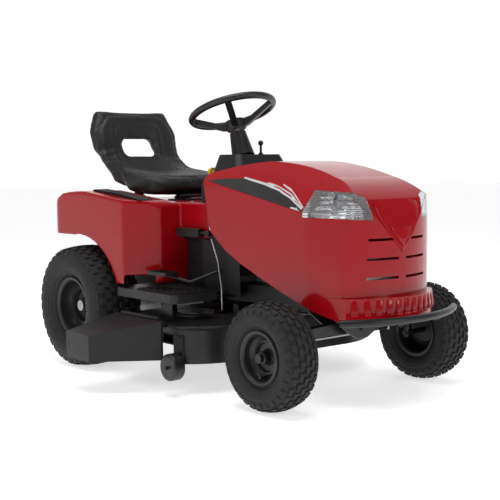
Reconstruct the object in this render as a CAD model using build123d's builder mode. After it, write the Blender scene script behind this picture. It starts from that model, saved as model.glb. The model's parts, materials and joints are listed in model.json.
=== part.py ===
from build123d import *
import math
import os

os.makedirs("parts", exist_ok=True)

# Working datum: X forward from the rear axle, Y to the left from the mid-plane, Z up from the ground.
# Every piece is moved at the end so that the finished machine stands on its origin.

# ---------------------------------------------------------------- driving sizes (mm)
WHEELBASE = 1042
REAR_TYRE_R = 230
REAR_TYRE_W = 208
REAR_TRACK_Y = 365
REAR_RIM_R = 104
FRONT_TYRE_R = 171.5
FRONT_TYRE_W = 127
FRONT_TRACK_Y = 362
FRONT_RIM_R = 78
TYRE_WALL = 12
RIM_WALL = 4
BEAD_SHARE = 0.34
BEAD_H = 14

RAIL_Y = 165
RAIL_BOTTOM = 290
RAIL_TOP = 350
RAIL_FRONT = 1195
RAIL_REAR = -120
RAIL_WALL = 4
RAIL_FLANGE = 34
HITCH_PLATE_T = 6
HITCH_HOLE_R = 8
HITCH_REACH = 85
HITCH_WIDTH = 120

AXLE_SHAFT_R = 12
SPINDLE_AXLE_R = 9.5
KINGPIN_R = 10
KINGPIN_Y = 275
BOSS_R = 16
BEAM_Z = 226
PIVOT_PIN_R = 10
STEER_ARM = 75
TIE_ARM = 85

COLUMN_TILT = 20
WHEEL_X = 434
WHEEL_Z = 958
WHEEL_RING_R = 153
WHEEL_TUBE_R = 13
WHEEL_DISH = 55
SHAFT_R = 8
GEAR_MODULE = 2
PINION_TEETH = 14
SECTOR_TEETH = 63
UNIVERSAL_Z = 575

ENGINE_X = 800
CRANK_R = 12.5
DECK_X_RIGHT = 510
DECK_X_LEFT = 535
BLADE_SPACING_Y = 242
BLADE_R = 236
DECK_R = 258
DECK_TOP = 230
DECK_BOTTOM = 105
DECK_WALL = 3
CHUTE_Y = -440
CHUTE_HALF = 134
DEFLECTOR_OUT_Y = -660
SPINDLE_R = 10
SPINDLE_PULLEY_R = 62
GAUGE_WHEEL_R = 45
GAUGE_WHEEL_W = 56

FENDER_HALF = 405
FENDER_WALL = 4
ARCH_R = 270
FENDER_TOP = 667
SEAT_DECK_Z = 627
TUNNEL_HALF = 200
FOOTREST_TOP = 325
FOOTREST_OUT_Y = 414
FOOTREST_DEPTH = 30
CONSOLE_HALF = 200
CONSOLE_WALL = 4
HOOD_HALF = 240
HOOD_WALL = 4
HOOD_NOSE_X = 1262
HOOD_PIVOT_X = 1262
HOOD_PIVOT_Z = 330
HOOD_PIN_R = 5
HOOD_ARM_Y = 50
HOOD_EAR_Y = 58
BUMPER_X = 1340
BUMPER_Z = 286
BUMPER_R = 12
BUMPER_ARM_Y = 86

SEAT_HALF = 208
SEAT_PIN_X = 215
SEAT_PIN_Z = 641
SEAT_PIN_R = 5

PEDAL_X = 598
PEDAL_Z = 392
PEDAL_ROD_R = 6
KNOB_Z = 735
KNOB_Y = -96
KNOB_ROD_R = 6
KEY_Y = 84
KEY_ROD_R = 5
THROTTLE_X = 500
THROTTLE_Y = 80

RUN_FIT = 0.1
GAP = 0.5

REAR_LIMIT_X = -266
ORIGIN_X = (REAR_LIMIT_X + BUMPER_X + BUMPER_R) / 2
ORIGIN_Y = (DEFLECTOR_OUT_Y + BLADE_SPACING_Y + DECK_R) / 2


# ---------------------------------------------------------------- helpers
def save(piece, name):
    """Move a finished piece onto the machine's origin, label it and write it."""
    placed = piece.part.moved(Location((-ORIGIN_X, -ORIGIN_Y, 0)))
    placed.label = name
    export_step(placed, f"parts/{name}.step")


def axial_plane(centre):
    """Plane through a wheel centre: local x along the wheel axis (Y), local y up."""
    return Plane(origin=centre, x_dir=(0, 1, 0), z_dir=(1, 0, 0))


def side_plane(y):
    """Plane seen from the machine's right side: local x forward, local y up, normal towards -Y."""
    return Plane(origin=(0, y, 0), x_dir=(1, 0, 0), z_dir=(0, -1, 0))


def side_name(sign):
    return "left" if sign > 0 else "right"


# ---------------------------------------------------------------- wheels
def make_tyre(name, centre, radius, width, rim_radius):
    bead = width * BEAD_SHARE
    bulge = (radius + rim_radius) / 2 + 4
    shoulder = width * 0.41
    inner_bulge = width / 2 - TYRE_WALL
    inner_top = radius - TYRE_WALL
    with BuildPart() as tyre:
        with BuildSketch(axial_plane(centre)):
            with BuildLine():
                foot = Line((-bead, rim_radius), (-bead, rim_radius + BEAD_H))
                wall = ThreePointArc(foot @ 1, (-width / 2, bulge), (-shoulder, radius - 10))
                crown = ThreePointArc(wall @ 1, (0, radius), (shoulder, radius - 10))
                far_wall = ThreePointArc(crown @ 1, (width / 2, bulge), (bead, rim_radius + BEAD_H))
                Polyline(far_wall @ 1, (bead, rim_radius), (-bead, rim_radius))
            make_face()
            with BuildLine():
                toe = Line((-bead + TYRE_WALL, rim_radius - 1), (-bead + TYRE_WALL, rim_radius + BEAD_H))
                wall = ThreePointArc(toe @ 1, (-inner_bulge, bulge), (-shoulder + TYRE_WALL, inner_top - 10))
                crown = ThreePointArc(wall @ 1, (0, inner_top), (shoulder - TYRE_WALL, inner_top - 10))
                far_wall = ThreePointArc(crown @ 1, (inner_bulge, bulge), (bead - TYRE_WALL, rim_radius + BEAD_H))
                Polyline(far_wall @ 1, (bead - TYRE_WALL, rim_radius - 1), toe @ 0)
            make_face(mode=Mode.SUBTRACT)
        revolve(axis=Axis(centre, (0, 1, 0)))
    save(tyre, name)


def make_rim(name, centre, outward, rim_radius, width, bore, hub_r, hub_reach):
    """Pressed rim: barrel with two flanges, a dished web and a hub tube."""
    barrel_half = width * BEAD_SHARE + GAP
    web_at = outward * barrel_half * 0.15
    flange_r = rim_radius + 10
    hub_mid = outward * (hub_reach[0] + hub_reach[1]) / 2
    with BuildPart() as rim:
        with BuildSketch(axial_plane(centre)):
            with Locations((0, rim_radius - GAP - RIM_WALL / 2)):
                Rectangle(2 * barrel_half, RIM_WALL)
            for end in (-1, 1):
                with Locations((end * (barrel_half + RIM_WALL / 2), (flange_r + rim_radius) / 2 - 2)):
                    Rectangle(RIM_WALL, flange_r - rim_radius + 2 * RIM_WALL - 2)
            with Locations((web_at, (rim_radius + hub_r) / 2 - 2)):
                Rectangle(RIM_WALL, rim_radius - hub_r)
            with Locations((hub_mid, (hub_r + bore) / 2)):
                Rectangle(hub_reach[1] - hub_reach[0], hub_r - bore)
        revolve(axis=Axis(centre, (0, 1, 0)))
    save(rim, name)


for side in (1, -1):
    rear_centre = (0, side * REAR_TRACK_Y, REAR_TYRE_R)
    front_centre = (WHEELBASE, side * FRONT_TRACK_Y, FRONT_TYRE_R)
    tag = side_name(side)
    make_tyre(f"rear_tyre_{tag}", rear_centre, REAR_TYRE_R, REAR_TYRE_W, REAR_RIM_R)
    make_rim(f"rear_rim_{tag}", rear_centre, side, REAR_RIM_R, REAR_TYRE_W,
             AXLE_SHAFT_R + RUN_FIT, 26, (-60, 34))
    make_tyre(f"front_tyre_{tag}", front_centre, FRONT_TYRE_R, FRONT_TYRE_W, FRONT_RIM_R)
    make_rim(f"front_rim_{tag}", front_centre, side, FRONT_RIM_R, FRONT_TYRE_W,
             SPINDLE_AXLE_R + RUN_FIT, 20, (-48, 40))

# ---------------------------------------------------------------- rear drive
AXLE_TUBE_END = REAR_TRACK_Y - REAR_TYRE_W / 2 - 34
DRIVE_PULLEY_X = 95
BELT_WIDTH = 13
DRIVE_BELT_Z = 252
BLADE_BELT_Z = 240
BELT_T = 8
DRIVE_PULLEY_R = 55
ENGINE_PULLEY_R = 48
AXLE_TUBE_R = 28

with BuildPart() as transaxle:
    with Locations((10, 0, (DRIVE_BELT_Z - 16 + 140) / 2)):
        Box(190, 210, DRIVE_BELT_Z - 16 - 140)
    fillet(transaxle.edges().filter_by(Axis.Y), 24)
    with BuildSketch(Plane.XZ.offset(-AXLE_TUBE_END)):
        with Locations((0, REAR_TYRE_R)):
            Circle(AXLE_TUBE_R)
    extrude(amount=2 * AXLE_TUBE_END)
    with Locations((0, 0, REAR_TYRE_R)):
        Cylinder(AXLE_SHAFT_R + RUN_FIT, 4 * AXLE_TUBE_END, rotation=(90, 0, 0), mode=Mode.SUBTRACT)
    for side in (1, -1):
        with Locations((0, side * (RAIL_Y - 20), REAR_TYRE_R + 42)):
            Box(70, 24, 34)
save(transaxle, "transaxle")

for side in (1, -1):
    inner_end = 6
    outer_end = REAR_TRACK_Y + 36
    with BuildPart() as axle_shaft:
        with BuildSketch(Plane.XZ.offset(-side * inner_end)):
            with Locations((0, REAR_TYRE_R)):
                Circle(AXLE_SHAFT_R)
        extrude(amount=-side * (outer_end - inner_end))
        with BuildSketch(Plane.XZ.offset(-side * outer_end)):
            with Locations((0, REAR_TYRE_R)):
                Circle(AXLE_SHAFT_R + 8)
        extrude(amount=-side * 6)
    save(axle_shaft, f"axle_shaft_{side_name(side)}")


# ---------------------------------------------------------------- belts and pulleys
def belt_outline(centres, radii, grow):
    """Outer outline of a belt round circular pulleys, as the hull of the circles."""
    with BuildSketch() as outline:
        for centre, radius in zip(centres, radii):
            with Locations(centre):
                Circle(radius + grow)
        make_hull()
    return outline.sketch


def make_belt(name, centres, radii, mid_z):
    outer = belt_outline(centres, radii, BELT_WIDTH / 2)
    inner = belt_outline(centres, radii, -BELT_WIDTH / 2)
    with BuildPart() as belt:
        with BuildSketch(Plane.XY.offset(mid_z - BELT_T / 2)):
            add(outer)
            add(inner, mode=Mode.SUBTRACT)
        extrude(amount=BELT_T)
    save(belt, name)


def pulley_profile(mid_z, pitch_r, ends=(-1, 1)):
    """Half section of a one-groove sheave: its flanges and a core that clears the belt."""
    core_r = pitch_r - BELT_WIDTH / 2 - GAP
    with Locations((core_r / 2, mid_z)):
        Rectangle(core_r, BELT_T + 2 * GAP)
    for end in ends:
        with Locations(((pitch_r + 4) / 2, mid_z + end * (BELT_T / 2 + GAP + 0.75))):
            Rectangle(pitch_r + 4, 1.5)


engine_centre = (ENGINE_X, 0)
make_belt("drive_belt", [engine_centre, (DRIVE_PULLEY_X, 0)],
          [ENGINE_PULLEY_R, DRIVE_PULLEY_R], DRIVE_BELT_Z)
blade_centres = [(DECK_X_RIGHT, -BLADE_SPACING_Y), (DECK_X_LEFT, BLADE_SPACING_Y)]
make_belt("blade_belt", [engine_centre] + blade_centres,
          [ENGINE_PULLEY_R, SPINDLE_PULLEY_R, SPINDLE_PULLEY_R], BLADE_BELT_Z)

CRANK_LOW = BLADE_BELT_Z - 9
ENGINE_BASE = RAIL_TOP + 4
with BuildPart() as engine_pulley:
    with BuildSketch(Plane(origin=(ENGINE_X, 0, 0), x_dir=(1, 0, 0), z_dir=(0, -1, 0))):
        pulley_profile(BLADE_BELT_Z, ENGINE_PULLEY_R, (1,))
        pulley_profile(DRIVE_BELT_Z, ENGINE_PULLEY_R)
        with Locations((CRANK_R / 2, (CRANK_LOW + ENGINE_BASE + 60) / 2)):
            Rectangle(CRANK_R, ENGINE_BASE + 60 - CRANK_LOW)
    revolve(axis=Axis((ENGINE_X, 0, 0), (0, 0, 1)))
save(engine_pulley, "engine_pulley")

# ---------------------------------------------------------------- chassis
LINK_Z = 263
LINK_R = 3
LINK_EYE_H = 6
ARM_Z = 272
ARM_T = 6
SECTOR_Z = 283
STEER_PLATE_T = 5
PINION_R = GEAR_MODULE * PINION_TEETH / 2
SECTOR_R = GEAR_MODULE * SECTOR_TEETH / 2
LOWER_SHAFT_X = WHEEL_X + (WHEEL_Z - UNIVERSAL_Z) * math.tan(math.radians(COLUMN_TILT))
SECTOR_Y = PINION_R + SECTOR_R
SECTOR_BOLT_R = 6
BRACKET_X = 46
BRACKET_T = 6
BRACKET_HALF = 62

with BuildPart() as frame_rails:
    for side in (1, -1):
        mid_x = (RAIL_FRONT + RAIL_REAR) / 2
        length = RAIL_FRONT - RAIL_REAR
        with Locations((mid_x, side * (RAIL_Y - RAIL_WALL / 2), (RAIL_TOP + RAIL_BOTTOM) / 2)):
            Box(length, RAIL_WALL, RAIL_TOP - RAIL_BOTTOM)
        for z in (RAIL_BOTTOM + RAIL_WALL / 2, RAIL_TOP - RAIL_WALL / 2):
            with Locations((mid_x, side * (RAIL_Y - RAIL_FLANGE / 2), z)):
                Box(length, RAIL_FLANGE, RAIL_WALL)
    # engine plate, steering plate, seat crossbars and end plates
    with Locations((ENGINE_X, 0, RAIL_TOP - RAIL_WALL / 2)):
        Box(300, 2 * RAIL_Y, RAIL_WALL)
    with Locations((ENGINE_X, 0, RAIL_TOP)):
        Cylinder(CRANK_R + 8, 6 * RAIL_WALL, mode=Mode.SUBTRACT)
    with Locations((LOWER_SHAFT_X + 10, 0, RAIL_BOTTOM + STEER_PLATE_T / 2)):
        Box(120, 2 * RAIL_Y, STEER_PLATE_T)
    with Locations((LOWER_SHAFT_X, 0, RAIL_BOTTOM)):
        Cylinder(SHAFT_R + RUN_FIT, 4 * STEER_PLATE_T, mode=Mode.SUBTRACT)
    with Locations((LOWER_SHAFT_X, SECTOR_Y, SECTOR_Z + 1)):
        Cylinder(SECTOR_BOLT_R, 22)
    with Locations((LOWER_SHAFT_X, SECTOR_Y, SECTOR_Z - 5 - GAP)):
        Cylinder(SECTOR_BOLT_R + 4, 4)
    for end_x in (RAIL_FRONT - RAIL_WALL / 2, RAIL_REAR + RAIL_WALL / 2):
        with Locations((end_x, 0, (RAIL_TOP + RAIL_BOTTOM) / 2 - 12)):
            Box(RAIL_WALL, 2 * RAIL_Y, RAIL_TOP - RAIL_BOTTOM + 24)
    # towing plate behind the rear end plate
    with Locations((RAIL_REAR - HITCH_REACH / 2, 0, RAIL_BOTTOM - 24 + HITCH_PLATE_T / 2)):
        Box(HITCH_REACH, HITCH_WIDTH, HITCH_PLATE_T)
    with Locations((RAIL_REAR - HITCH_REACH + 28, 0, RAIL_BOTTOM - 24 + HITCH_PLATE_T / 2)):
        Cylinder(HITCH_HOLE_R, 3 * HITCH_PLATE_T, mode=Mode.SUBTRACT)
    # hanger plates of the front axle
    for end in (-1, 1):
        with BuildSketch(Plane.YZ.offset(WHEELBASE + end * BRACKET_X - BRACKET_T / 2)):
            with BuildLine():
                Polyline((-RAIL_Y, RAIL_BOTTOM + 2), (RAIL_Y, RAIL_BOTTOM + 2), (BRACKET_HALF, BEAM_Z - 14),
                         (24, BEAM_Z - 34), (-24, BEAM_Z - 34), (-BRACKET_HALF, BEAM_Z - 14), close=True)
            make_face()
        extrude(amount=BRACKET_T)
    with Locations((WHEELBASE, 0, BEAM_Z)):
        Cylinder(PIVOT_PIN_R, 2 * BRACKET_X + 3 * BRACKET_T, rotation=(0, 90, 0))
    # ears of the hood hinge and their pin
    for side in (1, -1):
        with BuildSketch(side_plane(side * HOOD_EAR_Y)):
            with BuildLine():
                Polyline((RAIL_FRONT - 2, RAIL_BOTTOM), (HOOD_PIVOT_X + 4, HOOD_PIVOT_Z - 12),
                         (HOOD_PIVOT_X + 10, HOOD_PIVOT_Z), (HOOD_PIVOT_X, HOOD_PIVOT_Z + 10),
                         (RAIL_FRONT - 2, RAIL_TOP), close=True)
            make_face()
        extrude(amount=2.5, both=True)
        with Locations((HOOD_PIVOT_X, side * (HOOD_ARM_Y + 2), HOOD_PIVOT_Z)):
            Cylinder(HOOD_PIN_R, 30, rotation=(90, 0, 0))
    # uprights that carry the rear body
    for x in (RAIL_REAR + 30, 330):
        for side in (1, -1):
            with Locations((x, side * (RAIL_Y - 3), (RAIL_TOP + SEAT_DECK_Z - FENDER_WALL) / 2 - GAP)):
                Box(34, 6, SEAT_DECK_Z - FENDER_WALL - RAIL_TOP)
    # brackets under the footrests
    for side in (1, -1):
        for x in (320, 560):
            with Locations((x, side * (RAIL_Y + 90), FOOTREST_TOP - FOOTREST_DEPTH - 3)):
                Box(30, 182, 6)
save(frame_rails, "frame_rails")

with BuildPart() as bumper:
    with BuildLine(Plane.XY.offset(BUMPER_Z)):
        bar = ThreePointArc((BUMPER_X - 84, -262), (BUMPER_X, 0), (BUMPER_X - 84, 262))
    with BuildSketch(Plane(origin=bar @ 0, z_dir=bar % 0)):
        Circle(BUMPER_R)
    sweep()
    for side in (1, -1):
        with Locations((bar @ (0 if side < 0 else 1))):
            Sphere(BUMPER_R)
    for side in (1, -1):
        with Locations(((RAIL_FRONT + BUMPER_X - 8) / 2, side * BUMPER_ARM_Y, BUMPER_Z - BUMPER_R - 1)):
            Box(BUMPER_X - 8 - RAIL_FRONT, 30, 8)
save(bumper, "bumper")

# ---------------------------------------------------------------- engine and services
with BuildPart() as engine_block:
    with Locations((ENGINE_X, 0, ENGINE_BASE + 56)):
        Box(230, 220, 112)
    fillet(engine_block.edges().filter_by(Axis.Z), 40)
    with Locations((ENGINE_X + 150, 0, ENGINE_BASE + 62)):
        Box(110, 120, 84)
    for fin in range(7):
        with Locations((ENGINE_X + 118 + fin * 14, 0, ENGINE_BASE + 62)):
            Box(5, 150, 96)
    with Locations((ENGINE_X, 0, ENGINE_BASE + 30)):
        Cylinder(CRANK_R + RUN_FIT, 62, mode=Mode.SUBTRACT)
save(engine_block, "engine_block")

SHROUD_BASE = ENGINE_BASE + 112 + GAP
with BuildPart() as engine_shroud:
    with BuildSketch(Plane.XY.offset(SHROUD_BASE)):
        with Locations((ENGINE_X, 0)):
            Circle(126)
        with Locations((ENGINE_X + 100, 0)):
            RectangleRounded(180, 190, 30)
    extrude(amount=84)
    fillet(engine_shroud.faces().sort_by(Axis.Z)[-1].edges(), 16)
    with BuildSketch(Plane.XY.offset(SHROUD_BASE + 84)):
        with Locations((ENGINE_X, 0)):
            Circle(80)
    extrude(amount=24)
    with BuildSketch(Plane.XY.offset(SHROUD_BASE)):
        with Locations((ENGINE_X, 0)):
            Circle(120)
    extrude(amount=74, mode=Mode.SUBTRACT)
save(engine_shroud, "engine_shroud")

with BuildPart() as muffler:
    with Locations((ENGINE_X + 290, 0, ENGINE_BASE + 70)):
        Box(110, 200, 86)
    fillet(muffler.edges().filter_by(Axis.Y), 26)
    with Locations((ENGINE_X + 222, 0, ENGINE_BASE + 70)):
        Cylinder(16, 32, rotation=(0, 90, 0))
    with Locations((ENGINE_X + 300, -112, ENGINE_BASE + 52)):
        Cylinder(14, 40, rotation=(90, 0, 0))
    with Locations((ENGINE_X + 290, 0, ENGINE_BASE + 13)):
        Box(50, 90, 30)
save(muffler, "muffler")

TANK_X = 652
TANK_LOW = 585
TANK_HIGH = 680
with BuildPart() as fuel_tank:
    with Locations((TANK_X, 0, (TANK_LOW + TANK_HIGH) / 2)):
        Box(84, 300, TANK_HIGH - TANK_LOW)
    fillet(fuel_tank.edges().filter_by(Axis.Z), 16)
    with Locations((TANK_X + 24, 90, TANK_HIGH + 6)):
        Cylinder(16, 16)
    with Locations((TANK_X + 24, 90, TANK_HIGH + 20)):
        Cylinder(22, 14)
save(fuel_tank, "fuel_tank")

with BuildPart() as battery:
    with Locations((75, 0, 440)):
        Box(130, 196, 150)
    with Locations((75, 0, RAIL_TOP + 8)):
        Box(150, 2 * RAIL_Y - 2, 15)
    for side in (1, -1):
        with Locations((45, side * 66, 520)):
            Cylinder(9, 14)
save(battery, "battery")

# ---------------------------------------------------------------- rear body
TUNNEL_FRONT = 540
TUNNEL_LOW = 500
BLOCK_FRONT = 372
INNER_WALL_Y = 236


def fender_outline(inset):
    """Plan outline of the rear body: wide over the tyres, narrow over the tunnel."""
    with BuildSketch() as plan:
        with BuildLine():
            Polyline((-206, -FENDER_HALF), (300, -FENDER_HALF), (BLOCK_FRONT, -290),
                     (BLOCK_FRONT, 290), (300, FENDER_HALF), (-206, FENDER_HALF), close=True)
        make_face()
        fillet(plan.vertices().group_by(Axis.X)[0], 60)
        fillet(plan.vertices().group_by(Axis.X)[-1], 40)
        offset(amount=-inset)
    return plan.sketch


def fender_side(inset, top):
    """Side outline of the rear body, arched over the rear tyre."""
    with BuildSketch() as outline:
        with BuildLine():
            back = Polyline((-206, 497), (-200, 560), (-168, top - 34), (-120, top - 10))
            crest = ThreePointArc(back @ 1, (-44, top - 2), (42, top))
            roof = Line(crest @ 1, (330, top - 30))
            nose = ThreePointArc(roof @ 1, (366, top - 46), (376, top - 80))
            Polyline(nose @ 1, (400, 336), (240, 336), (-206, 336), back @ 0)
        make_face()
        offset(amount=-inset)
    return outline.sketch


def fender_wing(inset, top, half_span):
    """Solid body under one side outline, across the given half span."""
    outline = fender_side(inset, top)
    with BuildPart() as wing:
        with BuildSketch(side_plane(half_span)):
            add(outline)
        extrude(amount=2 * half_span)
    return wing.part


plan_outer = fender_outline(0)
plan_inner = fender_outline(FENDER_WALL)
def rear_body(inset, floor_z):
    """Closed body of the fenders and tunnel, its skin drawn in by the given wall."""
    plan = fender_outline(inset)
    wing = fender_wing(inset, FENDER_TOP, FENDER_HALF + 10)
    deck_z = SEAT_DECK_Z - inset
    with BuildPart() as body:
        with BuildSketch(Plane.XY.offset(floor_z)):
            add(plan)
        extrude(amount=FENDER_TOP + 20 - floor_z)
        add(wing, mode=Mode.INTERSECT)
        with Locations((60, 0, deck_z + 50)):
            Box(700, 2 * (INNER_WALL_Y + inset), 100, mode=Mode.SUBTRACT)
        with Locations(((BLOCK_FRONT + TUNNEL_FRONT) / 2 - 20 + inset, 0, (deck_z + TUNNEL_LOW - inset) / 2)):
            Box(TUNNEL_FRONT - BLOCK_FRONT + 40, 2 * (TUNNEL_HALF - inset), deck_z - TUNNEL_LOW + inset)
    return body.part


rear_skin = rear_body(0, 330)
rear_hollow = rear_body(FENDER_WALL, 320)
with BuildPart() as fender_body:
    add(rear_skin)
    add(rear_hollow, mode=Mode.SUBTRACT)
    with Locations((80, 0, 345)):
        Box(560, 2 * (FENDER_HALF - FENDER_WALL), 40, mode=Mode.SUBTRACT)
    # room for the rails under the front wall
    with Locations((BLOCK_FRONT, 0, RAIL_TOP + 2 - 20)):
        Box(80, 2 * RAIL_Y + 4, 40, mode=Mode.SUBTRACT)
    # wheel arches through the side walls, and the open underside behind them
    with Locations((0, 0, REAR_TYRE_R)):
        Cylinder(ARCH_R, 4 * FENDER_HALF, rotation=(90, 0, 0), mode=Mode.SUBTRACT)
    with Locations((-110, 0, 417)):
        Box(260, 4 * FENDER_HALF, 160, mode=Mode.SUBTRACT)
save(fender_body, "fender_body")

with BuildPart() as fender_grips:
    for side in (1, -1):
        with BuildSketch(Plane.XZ.offset(-side * 330 - (30 if side > 0 else -30))):
            with BuildLine():
                Polyline((30, FENDER_TOP + GAP), (42, FENDER_TOP + 6), (200, FENDER_TOP - 7),
                         (330, FENDER_TOP - 24), (338, FENDER_TOP - 30 + GAP), (42, FENDER_TOP + GAP), close=True)
            make_face()
        extrude(amount=side * 60)
save(fender_grips, "fender_grips")

with BuildPart() as footrests:
    for side in (1, -1):
        inner = CONSOLE_HALF + 6
        middle_y = side * (inner + FOOTREST_OUT_Y) / 2
        with BuildSketch(Plane.XY.offset(FOOTREST_TOP - FOOTREST_DEPTH)):
            with Locations((432, middle_y)):
                RectangleRounded(366, FOOTREST_OUT_Y - inner, 26)
        extrude(amount=FOOTREST_DEPTH)
        with BuildSketch(Plane.XY.offset(FOOTREST_TOP - FOOTREST_DEPTH)):
            with Locations((432, middle_y)):
                RectangleRounded(358, FOOTREST_OUT_Y - inner - 8, 22)
        extrude(amount=FOOTREST_DEPTH - 5, mode=Mode.SUBTRACT)
save(footrests, "footrests")

with BuildPart() as foot_mats:
    for side in (1, -1):
        middle_y = side * 312
        with BuildSketch(Plane.XY.offset(FOOTREST_TOP)):
            with Locations((480, middle_y)):
                RectangleRounded(230, 180, 16)
        extrude(amount=3)
        with BuildSketch(Plane.XY.offset(FOOTREST_TOP + 3)):
            with Locations((480, middle_y)):
                with GridLocations(36, 28, 6, 6):
                    RectangleRounded(24, 10, 3)
        extrude(amount=3)
save(foot_mats, "foot_mats")

# ---------------------------------------------------------------- console and dash
with BuildPart() as console_cover:
    with BuildSketch(side_plane(CONSOLE_HALF)):
        with BuildLine():
            Polyline((503, TUNNEL_LOW - 3), (TUNNEL_FRONT + 3, TUNNEL_LOW - 3), (TUNNEL_FRONT + 3, 548), (585, 540),
                     (668, 462), (704, 430), (706, 312), (512, 322), (498, 420), close=True)
        make_face()
    extrude(amount=2 * CONSOLE_HALF)
    with BuildSketch(side_plane(CONSOLE_HALF - CONSOLE_WALL)):
        with BuildLine():
            Polyline((503 + CONSOLE_WALL, 600), (740, 600), (740, 290), (512 + CONSOLE_WALL, 290),
                     (498 + CONSOLE_WALL, 420), close=True)
        make_face()
    extrude(amount=2 * (CONSOLE_HALF - CONSOLE_WALL), mode=Mode.SUBTRACT)
    # dark inner panels of the tunnel, behind the open foot wells
    well_z = (RAIL_TOP + TUNNEL_LOW) / 2
    for side in (1, -1):
        with Locations((440, side * (RAIL_Y + GAP + 2), well_z)):
            Box(134, 4, TUNNEL_LOW - RAIL_TOP - 4)
    with Locations((520, 0, (RAIL_TOP + 290) / 2)):
        Box(60, 2 * RAIL_Y + 4, RAIL_TOP - 290 + 4, mode=Mode.SUBTRACT)
    with Locations((LOWER_SHAFT_X, 0, 430)):
        Cylinder(SHAFT_R + 14, 400, mode=Mode.SUBTRACT)
    with Locations((PEDAL_X, 0, PEDAL_Z)):
        Cylinder(PEDAL_ROD_R + 2, 3 * CONSOLE_HALF, rotation=(90, 0, 0), mode=Mode.SUBTRACT)
save(console_cover, "console_cover")

DASH_REAR = 455
DASH_FRONT = 645
DASH_BASE_Z = 690
DASH_TOP_Z = 798
DASH_HALF = 150
DASH_SLOPE = 15
COLUMN_COVER_R = 42
HOUSING_LOW = 628


def dash_pod(inset):
    """Tapered pod round the column, drawn in by the given wall."""
    with BuildPart() as pod:
        with BuildSketch(Plane.XY.offset(DASH_BASE_Z - inset)):
            with Locations(((DASH_REAR + DASH_FRONT) / 2, 0)):
                RectangleRounded(DASH_FRONT - DASH_REAR - 2 * inset, 2 * (DASH_HALF - inset), 36)
        with BuildSketch(Plane.XY.offset(DASH_TOP_Z - inset)):
            with Locations(((DASH_REAR + DASH_SLOPE + DASH_FRONT - 55) / 2, 0)):
                RectangleRounded(DASH_FRONT - DASH_REAR - DASH_SLOPE - 55 - 2 * inset,
                                 2 * (DASH_HALF - 42 - inset), 30)
        loft()
    return pod.part


column_axis = Vector(-math.sin(math.radians(COLUMN_TILT)), 0, math.cos(math.radians(COLUMN_TILT)))
wheel_centre = Vector(WHEEL_X, 0, WHEEL_Z)
wheel_plane = Plane(origin=wheel_centre, x_dir=(column_axis.Z, 0, -column_axis.X), z_dir=column_axis)
pod_skin = dash_pod(0)
pod_hollow = dash_pod(CONSOLE_WALL)
cover_base = wheel_plane.offset(-WHEEL_DISH - 122)
cover_top = wheel_plane.offset(-WHEEL_DISH - 30)
with BuildPart() as dash_panel:
    add(pod_skin)
    with BuildSketch(cover_base):
        Circle(COLUMN_COVER_R)
    with BuildSketch(cover_top):
        Circle(COLUMN_COVER_R - 12)
    loft()
    with Locations(((485 + 592) / 2, 0, (HOUSING_LOW + DASH_BASE_Z + 6) / 2)):
        Box(592 - 485, 2 * 190, DASH_BASE_Z + 6 - HOUSING_LOW)
    add(pod_hollow, mode=Mode.SUBTRACT)
    with Locations(((485 + 592) / 2 + 8, 0, (HOUSING_LOW + DASH_BASE_Z) / 2 - 2)):
        Box(592 - 485, 2 * 186, DASH_BASE_Z - HOUSING_LOW + 4, mode=Mode.SUBTRACT)
    with Locations(wheel_plane.offset(-WHEEL_DISH - 150).location):
        Cylinder(SHAFT_R + 8, 400, mode=Mode.SUBTRACT)
    with Locations((DASH_REAR, KNOB_Y, KNOB_Z)):
        Cylinder(KNOB_ROD_R + GAP, 60, rotation=(0, 90, 0), mode=Mode.SUBTRACT)
    with Locations((DASH_REAR, KEY_Y, KNOB_Z)):
        Cylinder(KEY_ROD_R + GAP, 60, rotation=(0, 90, 0), mode=Mode.SUBTRACT)
    with Locations((THROTTLE_X, THROTTLE_Y, DASH_TOP_Z)):
        Box(44, 10, 40, mode=Mode.SUBTRACT)
save(dash_panel, "dash_panel")

# ---------------------------------------------------------------- steering
SPOKE_ANGLES = [math.radians(45 + 90 * quarter) for quarter in range(4)]
with BuildPart() as steering_wheel:
    with Locations(wheel_plane.location):
        Torus(WHEEL_RING_R, WHEEL_TUBE_R)
    with Locations(wheel_plane.offset(-WHEEL_DISH).location):
        Cylinder(36, 34)
    for angle in SPOKE_ANGLES:
        across = wheel_plane.x_dir * math.cos(angle) + wheel_plane.y_dir * math.sin(angle)
        with BuildSketch(Plane(origin=wheel_centre, x_dir=across, z_dir=across.cross(column_axis))):
            with BuildLine():
                Polyline((24, -WHEEL_DISH - 15), (52, -WHEEL_DISH - 8), (WHEEL_RING_R - 2, -8),
                         (WHEEL_RING_R - 2, 5), (WHEEL_RING_R - 16, 3), (48, -WHEEL_DISH + 12),
                         (24, -WHEEL_DISH + 15), close=True)
            make_face()
        extrude(amount=12, both=True)
    with Locations(wheel_plane.offset(-WHEEL_DISH - 10).location):
        Cylinder(SHAFT_R + RUN_FIT, 30, mode=Mode.SUBTRACT)
save(steering_wheel, "steering_wheel")

universal_point = Vector(LOWER_SHAFT_X, 0, UNIVERSAL_Z)
shaft_top = wheel_centre - column_axis * (WHEEL_DISH + 2)
with BuildPart() as steering_shaft:
    with BuildSketch(Plane(origin=universal_point + column_axis * 14, z_dir=column_axis)):
        Circle(SHAFT_R)
    extrude(amount=(shaft_top - universal_point).length - 14)
    with BuildSketch(Plane(origin=universal_point + column_axis * 8, z_dir=column_axis)):
        Circle(SHAFT_R + 5)
    extrude(amount=24)
save(steering_shaft, "steering_shaft")

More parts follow.
